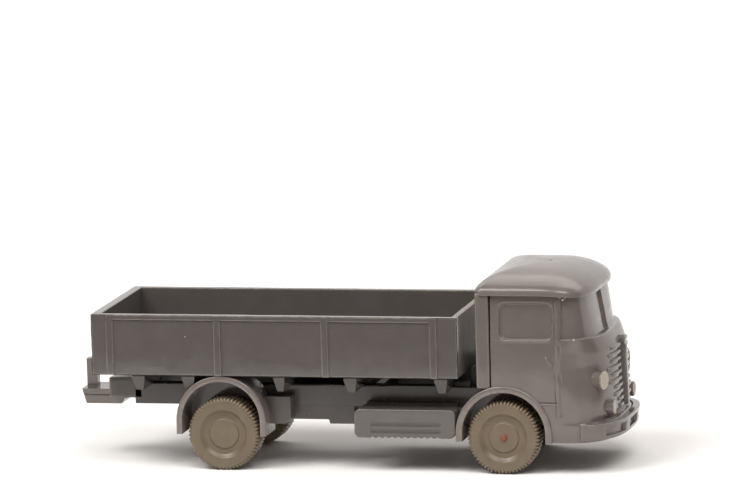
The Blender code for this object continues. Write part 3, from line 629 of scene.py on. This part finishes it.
def make_cab():
    heights = spread(0.0, 1.0, 150, ((0.701, 0.012, 6.0), (0.145, 0.02, 2.0), (0.948, 0.01, 1.0), (0.27, 0.02, 1.0)))
    table = smooth_table(CAB_STATIONS, heights)
    corner, front, half, full = table.T
    rear = np.full_like(heights, CAB_LOW.x)
    crowds = ((0.5, 0.02, 1.5), (0.17, 0.01, 1.0), (0.83, 0.01, 1.0))
    plan = plan_rows(rear, CAB_REAR + corner * CAB_LENGTH, CAB_REAR + front * CAB_LENGTH, half * CAB_HALF,
                     full, 350, crowds)
    z = np.broadcast_to((CAB_BOTTOM + heights * CAB_HEIGHT)[:, None], plan.shape[:2])
    share = np.broadcast_to(heights[:, None], z.shape)
    points = np.concatenate((plan, (z - droop(plan[..., 0], share))[..., None]), axis=-1)
    normal = surface_normals(points)
    relief = cab_relief(points[..., 0], points[..., 1], z)
    points = points + normal * relief[..., None]
    rows, cols = z.shape
    x, zz = points[..., 0], points[..., 2]
    radius = FRONT_GUARD_R - 0.35
    away = np.hypot(x - FRONT_GUARD_X, np.maximum(zz - FRONT_GUARD_Z, 0))
    quads = grid_faces(rows, cols)
    inside = (away < radius).reshape(-1)
    keep = ~inside[quads].any(axis=1)
    used = np.zeros(rows * cols, bool)
    used[quads[keep].reshape(-1)] = True
    dropped = np.zeros(rows * cols, bool)
    dropped[quads[~keep].reshape(-1)] = True
    rim = used & dropped
    flat = points.reshape(-1, 3)
    dx = flat[rim, 0] - FRONT_GUARD_X
    dz = np.maximum(flat[rim, 2] - FRONT_GUARD_Z, 0)
    pull = radius / np.maximum(np.hypot(dx, dz), 1e-9)
    flat[rim, 0] = FRONT_GUARD_X + dx * pull
    flat[rim, 2] = np.where(dz > 0, FRONT_GUARD_Z + dz * pull, flat[rim, 2])
    order = np.cumsum(used) - 1
    top = [order[(rows - 1) * cols + c] for c in range(cols)]
    faces = [order[q] for q in quads[keep]] + [top]
    piece("cab_body", flat[used], faces, SLATE, ("cab_shell",), thickness=CAB_WALL)


def make_roof():
    stations = np.vstack((ROOF_STATIONS, (1.0, 0.40, 0.42, 0.43, 0.03)))
    indexed = np.column_stack((np.arange(len(stations)), stations))
    rows = 90
    at = np.concatenate((np.linspace(0, 1, 8, endpoint=False), np.linspace(1, len(stations) - 1, rows - 8)))
    rise, rear, corner, front, half = smooth_table(indexed, at).T
    count = 330
    bend_radius = 0.8
    plan = plan_rows(CAB_REAR + rear * CAB_LENGTH + bend_radius, CAB_REAR + corner * CAB_LENGTH,
                     CAB_REAR + front * CAB_LENGTH, half * CAB_HALF, 3.6 - 1.2 * rise, count)
    z = np.broadcast_to((CAB_TOP + 0.05 + rise * ROOF_RISE)[:, None], plan.shape[:2])
    points = np.concatenate((plan, (z - droop(plan[..., 0], 1.0))[..., None]), axis=-1)
    back = []
    steps = 40
    for row in range(rows):
        x0 = CAB_REAR + rear[row] * CAB_LENGTH
        width = half[row] * CAB_HALF
        bend = min(bend_radius, width * 0.9)
        y = np.linspace(1, -1, steps)
        line = np.zeros((steps, 3))
        line[:, 1] = y * width
        edge = np.clip((np.abs(line[:, 1]) - (width - bend)) / bend, 0, 1)
        line[:, 0] = x0 + bend_radius * (1 - np.sqrt(np.maximum(1 - edge**2, 0)))
        line[:, 2] = z[row, 0]
        back.append(line[1:-1])
    points = np.concatenate((points, np.array(back)), axis=1)
    cols = points.shape[1]
    faces = [list(q) for q in grid_faces(rows, cols, True)]
    faces.append(list(range((rows - 1) * cols, rows * cols)))
    under = len(points.reshape(-1, 3))
    ring = points[0].copy()
    centre = np.array((CAB_REAR + 0.45 * CAB_LENGTH, 0.0, CAB_TOP + 0.05))
    inner = centre + (ring - centre) * np.array((0.9, 0.9, 1.0))
    inner[:, 2] = ring[:, 2] + 0.02
    flat = np.concatenate((points.reshape(-1, 3), inner))
    for c in range(cols):
        d = (c + 1) % cols
        faces.append([d, c, under + c, under + d])
    faces.append([under + c for c in range(cols)][::-1])
    # The roof takes the lighter slate, painted light.
    piece("cab_roof", flat, faces, LIT_ROOF_SLATE, ("cab_roof_and_back",), angle=50)


def make_cab_back():
    low = (CAB_REAR, -CAB_HALF, 13.7)
    high = (CAB_REAR + 2.2, CAB_HALF, CAB_TOP + 0.3)

    def shape(points, normal):
        x, y, z = points.T
        for centre in (-0.445, 0.445):
            pane = rounded_box_distance(y, z, centre * CAB_HALF, CAB_BOTTOM + 0.83 * CAB_HEIGHT,
                                        0.365 * CAB_HALF, 0.11 * CAB_HEIGHT, 0.9)
            x = x + 0.35 * (1 - step(pane, -0.1, 0.12)) * (normal[:, 0] < -0.9)
        return np.stack((x, y, z), axis=-1)

    block("cab_back", low, high, 0.35, (0.5, 0.2, 0.2), SLATE, ("cab_roof_and_back",), shape)


# Load bed
def make_side_board(label, side):
    y0, y1 = sorted((side * (HALF_WIDTH - 1.2), side * HALF_WIDTH))
    posts = [BOARD_LOW.x + share * BOARD_LENGTH for share in POSTS]

    def shape(points, normal):
        x, y, z = points.T
        outer = side * normal[:, 1] > 0.2
        sunk = 1 - step(z, BOARD_HIGH.z - 0.95, BOARD_HIGH.z - 0.8)
        sunk = np.maximum(sunk, step(-x, -posts[0], -posts[0] + 0.12))
        sunk = np.maximum(sunk, step(x, posts[-1], posts[-1] + 0.12))
        for post in posts:
            sunk = np.minimum(sunk, 1 - bump(x, post, 0.52, 0.12))
        deep = 0.22 * sunk + 0.02 * (1 + lumps(x, z, 3 + side, 7.0))
        y = y - side * deep * outer
        top = normal[:, 2] > 0.5
        z = z + 0.02 * lumps(x, 0 * x, 5 + side, 4.0) * top - 0.02 * top
        rear = normal[:, 0] < -0.5
        x = x + 0.07 * (1 + lumps(z, 0 * z, 2 + side, 1.8)) * rear
        return np.stack((x, y, z), axis=-1)

    crowds = (tuple((p + d, 0.25, 3.0) for p in posts for d in (-0.66, 0.66)), (), ((BOARD_HIGH.z - 0.88, 0.2, 3.0),))
    block("side_board_" + label + "_moulding", (BOARD_LOW.x, y0, BOARD_LOW.z), (BOARD_FRONT, y1, BOARD_HIGH.z), 0.13,
          (0.22, 0.4, 0.2), BED_SLATE, ("side_board_" + label,), shape, crowds=crowds)


def make_end_board(node, low, high, outward, relief, material):
    third = (high[1] - low[1]) / 3

    def shape(points, normal):
        x, y, z = points.T
        outer = outward * normal[:, 0] > 0.5
        deep = np.zeros_like(x)
        for i in (-1, 0, 1):
            pane = rounded_box_distance(y, z, third * i, (low[2] + high[2]) / 2, third / 2 - 0.55, 4.0, 0.15)
            deep += relief * (1 - step(pane, -0.08, 0.08))
        x = x - outward * (deep + 0.025 * (1 + lumps(y, z, 2.0, 4.0))) * outer
        return np.stack((x, y, z), axis=-1)

    block(node + "_moulding", tuple(low), tuple(high), 0.13, (0.4, 0.2, 0.2), material, (node,), shape)


# Mudguards
def make_guard(name, node, x, z, outer, wall, y_out, y_in, leg_rear, leg_front, side):
    """An arch with two legs, swept with a rounded section, and a wall behind the wheel."""
    path = []
    for t in np.linspace(leg_front, z, 10, endpoint=False):
        path.append((1.0, 0.0, t))
    for a in np.linspace(0, math.pi, 72):
        path.append((math.cos(a), math.sin(a), z))
    for t in np.linspace(z, leg_rear, 10)[1:]:
        path.append((-1.0, 0.0, t))
    r0, r1 = outer - wall, outer
    corners = [(r0, y_in), (r1, y_in), (r1, y_out), (r0 + 0.1, y_out), (r0, y_out - 0.12), (r0, y_in)]
    section = soft_line(corners, 0.26, 5)[:-1]
    rows = []
    for cx, cz, height in path:
        rows.append([(x + r * cx, side * y, height + r * cz) for r, y in section])
    points = np.array(rows)
    count = len(section)
    faces = tube_faces(len(path), count)
    flat = points.reshape(-1, 3)
    start = len(flat)
    turns = np.linspace(0.0, math.pi, 60)
    low = AXLE_Z + 1.1
    r = r0 + 0.1
    rim = [(x + r, low)] + [(x + r * math.cos(a), z + r * math.sin(a)) for a in turns] + [(x - r, low)]
    wall_points = [(a, side * y, b) for y in (y_in, y_in + 0.4) for a, b in rim]
    faces += [[start + i for i in face] for face in tube_faces(2, len(rim))]
    piece(name, np.concatenate((flat, wall_points)), faces, SLATE, (node,))


# Nose trim
def nose_point(y, z):
    """Where the plain cab surface lies at a distance from the middle and a height."""
    row = smooth_table(CAB_STATIONS, np.atleast_1d((z - CAB_BOTTOM) / CAB_HEIGHT))
    corner, front, half, full = row.T
    reach = np.maximum(1 - (np.abs(y) / (half * CAB_HALF)) ** full, 0) ** (1 / full)
    return CAB_REAR + (corner + (front - corner) * reach) * CAB_LENGTH


def make_disc(name, node, material, x, y, z, rows, splay=0.0, wear=True):
    """A round piece on the nose: rows are (radius, place along its own axis)."""
    count = 40
    rings = lathe(rows, count)
    points = np.stack((rings[..., 1], rings[..., 0], rings[..., 2]), axis=-1).reshape(-1, 3)
    turn = np.array(Matrix.Rotation(math.radians(splay), 3, "Z"))
    points = points @ turn.T + np.array((x, y, z))
    piece(name, points, tube_faces(len(rows), count), material, (node,), angle=50, wear=wear)


def on_nose(side, place):
    """The centre of a lamp or the boss from its shares of the half width and the height, and how proud it is."""
    share, rise, proud = place
    y, z = side * share * CAB_HALF, CAB_BOTTOM + rise * CAB_HEIGHT
    return nose_point(y, z)[0] + proud, y, z


def make_lamps():
    for label, side in (("left", 1), ("right", -1)):
        place = on_nose(side, HEADLAMP)
        housing = [(1.5, -2.6), (1.5, -0.42)] + soft_line([(1.52, -0.4), (1.52, -0.12), (1.3, -0.1)], 0.12, 3)
        make_disc("headlamp_housing_" + label, "headlamp_" + label, SLATE, *place, housing, side * LAMP_SPLAY)
        glass = soft_line([(1.42, -0.3), (1.42, -0.02), (1.1, 0.0), (0.02, 0.05)], 0.1, 3)
        make_disc("headlamp_face_" + label, "headlamp_" + label, SILVER, *place, glass, side * LAMP_SPLAY)
        place = on_nose(side, LOWER_LAMP)
        drum = [(1.2, -3.2), (1.2, -0.42)] + soft_line([(1.2, -0.4), (1.2, -0.15), (1.0, -0.13)], 0.1, 3)
        make_disc("lower_lamp_moulding_" + label, "lower_lamp_" + label, SLATE, *place, drum, wear=False)
        glass = soft_line([(1.1, -0.3), (1.1, -0.02), (0.8, 0.0), (0.02, 0.05)], 0.1, 3)
        make_disc("lower_lamp_face_" + label, "lower_lamp_" + label, SILVER, *place, glass, wear=False)
    knob = soft_line([(0.74, -2.6), (0.74, -0.12), (0.55, -0.02), (0.03, 0.04)], 0.2, 5)
    make_disc("front_boss_moulding", "front_boss", SLATE, *on_nose(1, BOSS), knob)


def bar_on_nose(stations, count=10):
    """A rounded bar lying on the nose: stations are (y, z, how proud, half height)."""
    points = []
    for y, z, proud, tall in stations:
        root = nose_point(y, z)[0] - 0.3
        high = proud + 0.3
        for a in np.linspace(-0.5 * math.pi, 0.5 * math.pi, count):
            across = math.copysign(abs(math.sin(a)) ** 0.7, math.sin(a))
            points.append((root + high * abs(math.cos(a)) ** 0.55, y, z + tall * across))
    return np.array(points), tube_faces(len(stations), count)


def make_grille():
    points, faces, start = [], [], 0

    def add(more, more_faces):
        nonlocal start
        points.append(more)
        faces.extend([[start + i for i in f] for f in more_faces])
        start += len(more)

    for i, reach in enumerate(SLATS):
        z = SLAT_TOP - SLAT_PITCH * i
        for side in (-1, 1):
            stations = []
            for t in np.linspace(0.0, 1.0, 15):
                y = side * (0.3 + (reach - 0.3) * t)
                fade = (1 - step(t, 0.9, 1.0) * 0.6) * (0.3 + 0.7 * step(abs(y), 0.5, 2.4))
                stations.append((y, z - 0.06 * t, 0.38 * fade, 0.35 * (1 - 0.3 * step(t, 0.9, 1.0))))
            add(*bar_on_nose(stations))
    low, high = CAB_BOTTOM + 0.172 * CAB_HEIGHT, CAB_BOTTOM + 0.6 * CAB_HEIGHT
    section = soft_line([(-0.35, -0.5), (0.9, -0.5), (0.9, 0.5), (-0.35, 0.5)], 0.16, 4)
    rows = []
    for z in np.linspace(low, high, 60):
        end = min(1.0, (high - z + 0.05) / 0.9, (z - low + 0.05) / 0.3)
        front = math.sqrt(max(1 - (1 - end) ** 2, 0.0)) * (0.78 + 0.22 * (z - low) / (high - low))
        x = nose_point(0.0, z)[0]
        rows.append([(x + (a * front if a > 0 else a), b * (0.55 + 0.45 * front), z) for a, b in section])
    rib = np.array(rows)
    add(rib.reshape(-1, 3), tube_faces(len(rows), rib.shape[1]))
    piece("grille_moulding", np.concatenate(points), faces, SLATE, ("grille",), angle=50, wear=False)


def make_bumper():
    low, high = BUMPER_LOW.z, BUMPER_HIGH.z
    start, reach, half = CAB_REAR + 0.6 * CAB_LENGTH, 0.4 * CAB_LENGTH, CAB_HALF + 0.3
    turns = np.linspace(-math.pi / 2, math.pi / 2, 2401)
    curve = np.stack((start + reach * np.abs(np.cos(turns)) ** (2 / 3),
                      half * np.sign(turns) * np.abs(np.sin(turns)) ** (2 / 3)), axis=-1)
    curve = curve[curve[:, 0] >= BUMPER_LOW.x]
    run = np.concatenate(([0.0], np.cumsum(np.hypot(*np.diff(curve, axis=0).T))))
    at = spread(0.0, run[-1], 260, ((0.0, 0.4, 6.0), (run[-1], 0.4, 6.0)))
    line = np.stack((np.interp(at, run, curve[:, 0]), np.interp(at, run, curve[:, 1])), axis=-1)
    along = np.gradient(line, axis=0)
    out = np.stack((along[:, 1], -along[:, 0]), axis=-1) / np.linalg.norm(along, axis=1)[:, None]
    out *= np.sign((out * line).sum(axis=1))[:, None]
    corners = soft_line([(-BUMPER_WALL, low), (-0.3, low), (0.0, high), (-BUMPER_WALL, high)], 0.22, 4)
    fine = [corners[0]]
    for a, b in zip(corners[:-1], corners[1:]):
        count = max(1, int(math.dist(a, b) / 0.12))
        fine += [a + (b - a) * (k + 1) / count for k in range(count)]
    section = np.array(fine)
    rows = []
    for (x, y), (nx, ny), place in zip(line, out, at):
        end = min(place, run[-1] - place, 0.35) / 0.35
        soft = 0.14 * (1 - math.sqrt(max(1 - (1 - end) ** 2, 0.0)))
        slot = max(float(bump(abs(y), a, b, 0.12)) for a, b in BUMPER_SLOTS)
        tall = bump(section[:, 1], (low + high) / 2 - 0.02, 0.56, 0.12)
        front = section[:, 0] > -0.4
        off = section[:, 0] - 0.55 * slot * tall * front - soft * front
        rise = section[:, 1] - soft * np.sign(section[:, 1] - (low + high) / 2)
        rows.append(np.stack((x + nx * off, y + ny * off, rise), axis=-1))
    points = np.array(rows)
    faces = tube_faces(len(rows), points.shape[1])
    piece("bumper_moulding", points.reshape(-1, 3), faces, SLATE, ("front_bumper",), angle=50)
    for label, side in (("left", 1), ("right", -1)):
        y = sorted((side * 0.3 * CAB_HALF, side * 0.42 * CAB_HALF))
        root = nose_point(4.8, high - 0.5)[0]
        block("bumper_bracket_" + label, (root - 0.6, y[0], high - 1.5), (BUMPER_HIGH.x - 0.8, y[1], high - 0.7), 0.1,
              (0.4, 0.4, 0.4), SLATE, ("front_bumper",))


def make_speck(name, x, y, z, radius):
    """A chip or a blob of old glue on a surface that faces the right side."""
    rings = lathe([(radius, 0.25), (radius, 0.05), (0.7 * radius, -0.06), (0.02, -0.1)], 16)
    points = rings.reshape(-1, 3)
    around = np.arctan2(points[:, 2], points[:, 0])
    points = points * (1 + 0.22 * np.sin(3 * around + 9 * x) + 0.12 * np.cos(5 * around))[:, None]
    piece(name, points + np.array((x, y, z)), tube_faces(4, 16), PALE, angle=60)


def make_side_box(label, side):
    y0, y1 = sorted((side * abs(BOX_LOW.y), side * BOX_HIGH.y))
    low, high = (BOX_LOW.x, y0, BOX_LOW.z), (BOX_HIGH.x, y1, BOX_HIGH.z)
    pitch = (high[0] - low[0]) * 0.0645

    def shape(points, normal):
        x, y, z = points.T
        outer = side * normal[:, 1] > 0.5
        deep = 0.0 * x
        for rise in (1.15, 2.25):
            groove = capsule_distance(x, z, low[0] + 2.9, low[2] + rise, high[0] - 2.6, low[2] + rise)
            deep += 0.12 * (1 - step(groove, 0.08, 0.3))
        y = y - side * (deep + 0.02 * (1 + lumps(x, z, 6 + side, 5.0))) * outer
        inside = step(x, low[0] + 2.6, low[0] + 2.7)
        inside *= 1 - step(x, low[0] + 2.9 + pitch * 10.4, low[0] + 2.9 + pitch * 10.5)
        wave = np.abs(np.sin((x - low[0] - 2.9) / pitch * math.pi)) ** 0.7
        near = step(side * y, BOX_HIGH.y - 1.2, BOX_HIGH.y - 1.0)
        z = z + 0.3 * (1 - wave) * inside * near * (1 - step(z, low[2] + 0.05, low[2] + 0.6))
        for cx, cz, dx, dz in ((low[0], low[2], 1, 1), (high[0], low[2], -1, 1), (low[0], high[2], 1, -1),
                               (high[0], high[2], -1, -1)):
            r = 0.95
            a = np.maximum(cx * dx + r - x * dx, 0)
            b = np.maximum(cz * dz + r - z * dz, 0)
            corner = (a > 0) & (b > 0)
            pull = np.maximum(a, b) / np.maximum(np.hypot(a, b), 1e-9)
            x = np.where(corner, (cx * dx + r - a * pull) * dx, x)
            z = np.where(corner, (cz * dz + r - b * pull) * dz, z)
        return np.stack((x, y, z), axis=-1)

    block("side_box_" + label + "_moulding", low, high, 0.22, (0.09, 0.3, 0.11), BED_SLATE,
          ("side_box_" + label,), shape)


# Wheels
def make_wheel(node, body):
    low, high = WHEELS[node]
    side = 1 if high.y > 0 else -1
    outer = max(abs(low.y), abs(high.y))
    inner = min(abs(low.y), abs(high.y))
    cx = (low.x + high.x) / 2
    rim = WHEEL_RADIUS
    if body == "rear_wheelset":
        face = [(0.008 * rim, outer - 0.44), (0.10 * rim, outer - 0.43), (0.12 * rim, outer - 0.42)]
    else:
        face = [(0.09 * rim, outer - 0.6), (0.095 * rim, outer - 0.36), (0.105 * rim, outer - 0.35),
                (0.12 * rim, outer - 0.42)]
    face += soft_line([(0.13 * rim, outer - 0.42), (0.39 * rim, outer - 0.36), (0.425 * rim, outer - 0.62),
                       (0.46 * rim, outer - 0.56), (0.55 * rim, outer - 0.62), (0.60 * rim, outer - 0.42),
                       (0.665 * rim, outer - 0.03), (0.70 * rim, outer), (0.84 * rim, outer)], 0.2, 4)
    width = outer - inner
    groove = []
    if width > 4.0:
        mid = outer - width * 0.5
        groove = [(0.995 * rim, mid + 0.3), (0.94 * rim, mid + 0.22),
                  (0.94 * rim, mid - 0.22), (0.995 * rim, mid - 0.3)]
    tread = [(0.87 * rim, outer - 0.01), (0.905 * rim, outer - 0.05), (0.945 * rim, outer - 0.13),
             (0.975 * rim, outer - 0.26), (rim, outer - 0.5), *groove,
             (rim, inner + 0.5), (0.975 * rim, inner + 0.26), (0.93 * rim, inner + 0.1)]
    back = soft_line([(0.86 * rim, inner), (0.62 * rim, inner), (0.55 * rim, inner + 0.5), (0.35 * rim, inner + 0.5),
                      (0.30 * rim, inner), (0.08 * rim, inner)], 0.15, 3)
    profile = face + tread + list(back)
    count = TEETH * 6
    rings = lathe(profile, count)
    depth = np.zeros(len(profile))
    for k in range(len(face), len(face) + len(tread)):
        depth[k] = TOOTH_DEPTH[body] * step(profile[k][0], 0.89 * rim, 0.96 * rim)
    angles = np.linspace(0, 2 * math.pi, count, endpoint=False)
    wave = np.abs(np.sin(angles * TEETH / 2))
    scale = 1 - depth[:, None] * (1 - wave)[None, :] / np.maximum(np.array([p[0] for p in profile])[:, None], 0.1)
    rings[..., 0] *= scale
    rings[..., 2] *= scale
    points = rings * np.array((1.0, side, 1.0)) + np.array((cx, 0.0, AXLE_Z))
    piece(node + "_moulding", points.reshape(-1, 3), tube_faces(len(profile), count), OLIVE, (node,), body, angle=50)


# Camera, lights and floor
def make_camera():
    """The photo's camera: its angles, its distance, the focal length in pixels and the crop's shift."""
    az, el, roll = math.radians(13.19), math.radians(8.95), math.radians(-1.6)
    distance, shift_right, shift_up = 1.130, 0.0010, 0.0332
    focal, photo_width = 7034.0, 733.0
    back = Vector((math.sin(az) * math.cos(el), -math.cos(az) * math.cos(el), math.sin(el)))
    right = Vector((math.cos(az), math.sin(az), 0))
    up = back.cross(right)
    r = right * math.cos(roll) + up * math.sin(roll)
    u = -right * math.sin(roll) + up * math.cos(roll)
    data = bpy.data.cameras.new("photo_camera")
    data.sensor_width = 36.0
    data.lens = focal * data.sensor_width / photo_width
    data.clip_start = 0.01
    data.clip_end = 20.0
    cam = link("photo_camera", data)
    turn = Matrix((r, u, back)).transposed().to_4x4()
    cam.matrix_world = Matrix.Translation(back * distance + r * shift_right + u * shift_up) @ turn
    bpy.context.scene.camera = cam


def make_lamp(name, place, size, power):
    data = bpy.data.lights.new(name, "AREA")
    data.shape = "RECTANGLE"
    data.size, data.size_y = size
    data.energy = power
    data.color = LAMP_COLOUR
    lamp = link(name, data)
    place = Vector(place)
    turn = (place - Vector(LAMP_AIM)).to_track_quat("Z", "Y").to_matrix().to_4x4()
    lamp.matrix_world = Matrix.Translation(place) @ turn


def make_room():
    """A dim room that gloss mirrors dark in front and white behind, with a white background for the camera."""
    world = bpy.data.worlds.new("world")
    bpy.context.scene.world = world
    world.use_nodes = True
    tree = world.node_tree
    links = tree.links
    dim = tree.nodes["Background"]
    dim.inputs["Color"].default_value = ROOM_COLOUR
    dim.inputs["Strength"].default_value = ROOM_DIM
    mirrored = tree.nodes.new("ShaderNodeBackground")
    mirrored.inputs["Color"].default_value = MIRROR_COLOUR
    white = tree.nodes.new("ShaderNodeBackground")
    white.inputs["Color"].default_value = (1.0, 1.0, 1.0, 1.0)
    way = tree.nodes.new("ShaderNodeTexCoord")
    parts = tree.nodes.new("ShaderNodeSeparateXYZ")
    links.new(way.outputs["Generated"], parts.inputs[0])
    behind = tree.nodes.new("ShaderNodeMapRange")
    behind.interpolation_type = "SMOOTHSTEP"
    for socket, number in (("From Min", 0.2), ("From Max", 0.4), ("To Min", MIRROR_DARK), ("To Max", 1.0)):
        behind.inputs[socket].default_value = number
    links.new(parts.outputs["Y"], behind.inputs["Value"])
    links.new(behind.outputs["Result"], mirrored.inputs["Strength"])
    path = tree.nodes.new("ShaderNodeLightPath")
    glossy = tree.nodes.new("ShaderNodeMixShader")
    links.new(path.outputs["Is Glossy Ray"], glossy.inputs[0])
    links.new(dim.outputs[0], glossy.inputs[1])
    links.new(mirrored.outputs[0], glossy.inputs[2])
    mix = tree.nodes.new("ShaderNodeMixShader")
    links.new(path.outputs["Is Camera Ray"], mix.inputs[0])
    links.new(glossy.outputs[0], mix.inputs[1])
    links.new(white.outputs[0], mix.inputs[2])
    links.new(mix.outputs[0], tree.nodes["World Output"].inputs["Surface"])


def make_floor():
    """A sheet of pale paper, cut short where the photo's floor fades into white."""
    mesh = bpy.data.meshes.new("floor")
    corners = [(PAPER_LEFT, PAPER_FRONT, 0), (PAPER_RIGHT, PAPER_FRONT, 0),
               (PAPER_RIGHT, PAPER_BACK, 0), (PAPER_LEFT, PAPER_BACK, 0)]
    mesh.from_pydata(corners, [], [(0, 1, 2, 3)])
    paper = bpy.data.materials.new("floor")
    paper.use_nodes = True
    shader = paper.node_tree.nodes["Principled BSDF"]
    shader.inputs["Base Color"].default_value = (0.93, 0.92, 0.91, 1.0)
    shader.inputs["Roughness"].default_value = 0.9
    shader.inputs["Specular IOR Level"].default_value = 0.1
    mesh.materials.append(paper)
    link("floor", mesh)


make_camera()
for name, place, size, power in LAMPS:
    make_lamp(name, place, size, power)
make_room()
make_floor()
make_cab()
make_roof()
make_cab_back()
for label, side in (("left", 1), ("right", -1)):
    make_side_board(label, side)
    make_side_box(label, side)
    make_guard("rear_guard_" + label, "rear_mudguard_" + label, REAR_GUARD_X, REAR_GUARD_Z, REAR_GUARD_R,
               REAR_GUARD_WALL, REAR_GUARD_HIGH.y, REAR_GUARD_INNER, AXLE_Z, AXLE_Z - 0.2, side)
    make_guard("front_guard_" + label, "front_mudguard_" + label, FRONT_GUARD_X, FRONT_GUARD_Z, FRONT_GUARD_R,
               FRONT_GUARD_WALL, FRONT_GUARD_HIGH.y, FRONT_GUARD_INNER, CAB_BOTTOM + 0.1, CAB_BOTTOM - 0.1, side)
make_end_board("tailboard", TAIL_LOW, TAIL_HIGH, -1, 0.18, BED_SLATE)
# The headboard takes the lighter slate, painted light in the gap behind the cab.
make_end_board("headboard", HEAD_LOW, (BOARD_FRONT, HEAD_HIGH.y, HEAD_HIGH.z), 1, 0.0, LIT_END_SLATE)
for node in WHEELS:
    make_wheel(node, "front_wheelset" if node.startswith("front") else "rear_wheelset")
# Frame and bed floor take the darker frame slate, painted shade under the bed.
for node, width in (("chassis_frame", 0.12), ("tow_coupling", 0.2), ("bed_floor", 0.12)):
    softened(node, SLATE if node == "tow_coupling" else SHADED_FRAME_SLATE, width)
make_lamps()
make_grille()
make_bumper()
# Blocks that close the daylight between bed, frame and cab, as the photo's moulding does
# Riser and saddle are near black: painted shade for the dark gap between bed, frame and cab.
block("frame_riser", (BOARD_FRONT + 0.1, -5.0, FRAME_TOP - 1.2), (CAB_REAR + 1.2, 9.0, FLOOR_LOW.z + 2.2), 0.2,
      (0.5, 0.6, 0.4), PAINTED_SHADE_SLATE)
block("frame_saddle", (BOARD_FRONT - 2.4, -6.0, FRAME_TOP - 1.2), (BOARD_FRONT + 0.4, 6.0, FLOOR_LOW.z + 0.1), 0.15,
      (0.5, 0.6, 0.4), PAINTED_SHADE_SLATE)
# The tongue takes the darker frame slate, painted shade under the bed.
block("frame_tongue", (FRAME_REAR - 1.05, -6.8, FRAME_TOP - 3.1), (FRAME_REAR + 4.4, 6.8, FLOOR_LOW.z + 0.1), 0.15,
      (0.4, 0.6, 0.4), SHADED_FRAME_SLATE)
for i, (x, y, z, radius) in enumerate(SPECKS):
    make_speck("pale_chip_%d" % i, x, y, z, radius)
for node, body in (("front_axle", "front_wheelset"), ("rear_axle", "rear_wheelset")):
    softened(node, RUST, 0.05, body)
bpy.context.scene.view_settings.view_transform = "Standard"
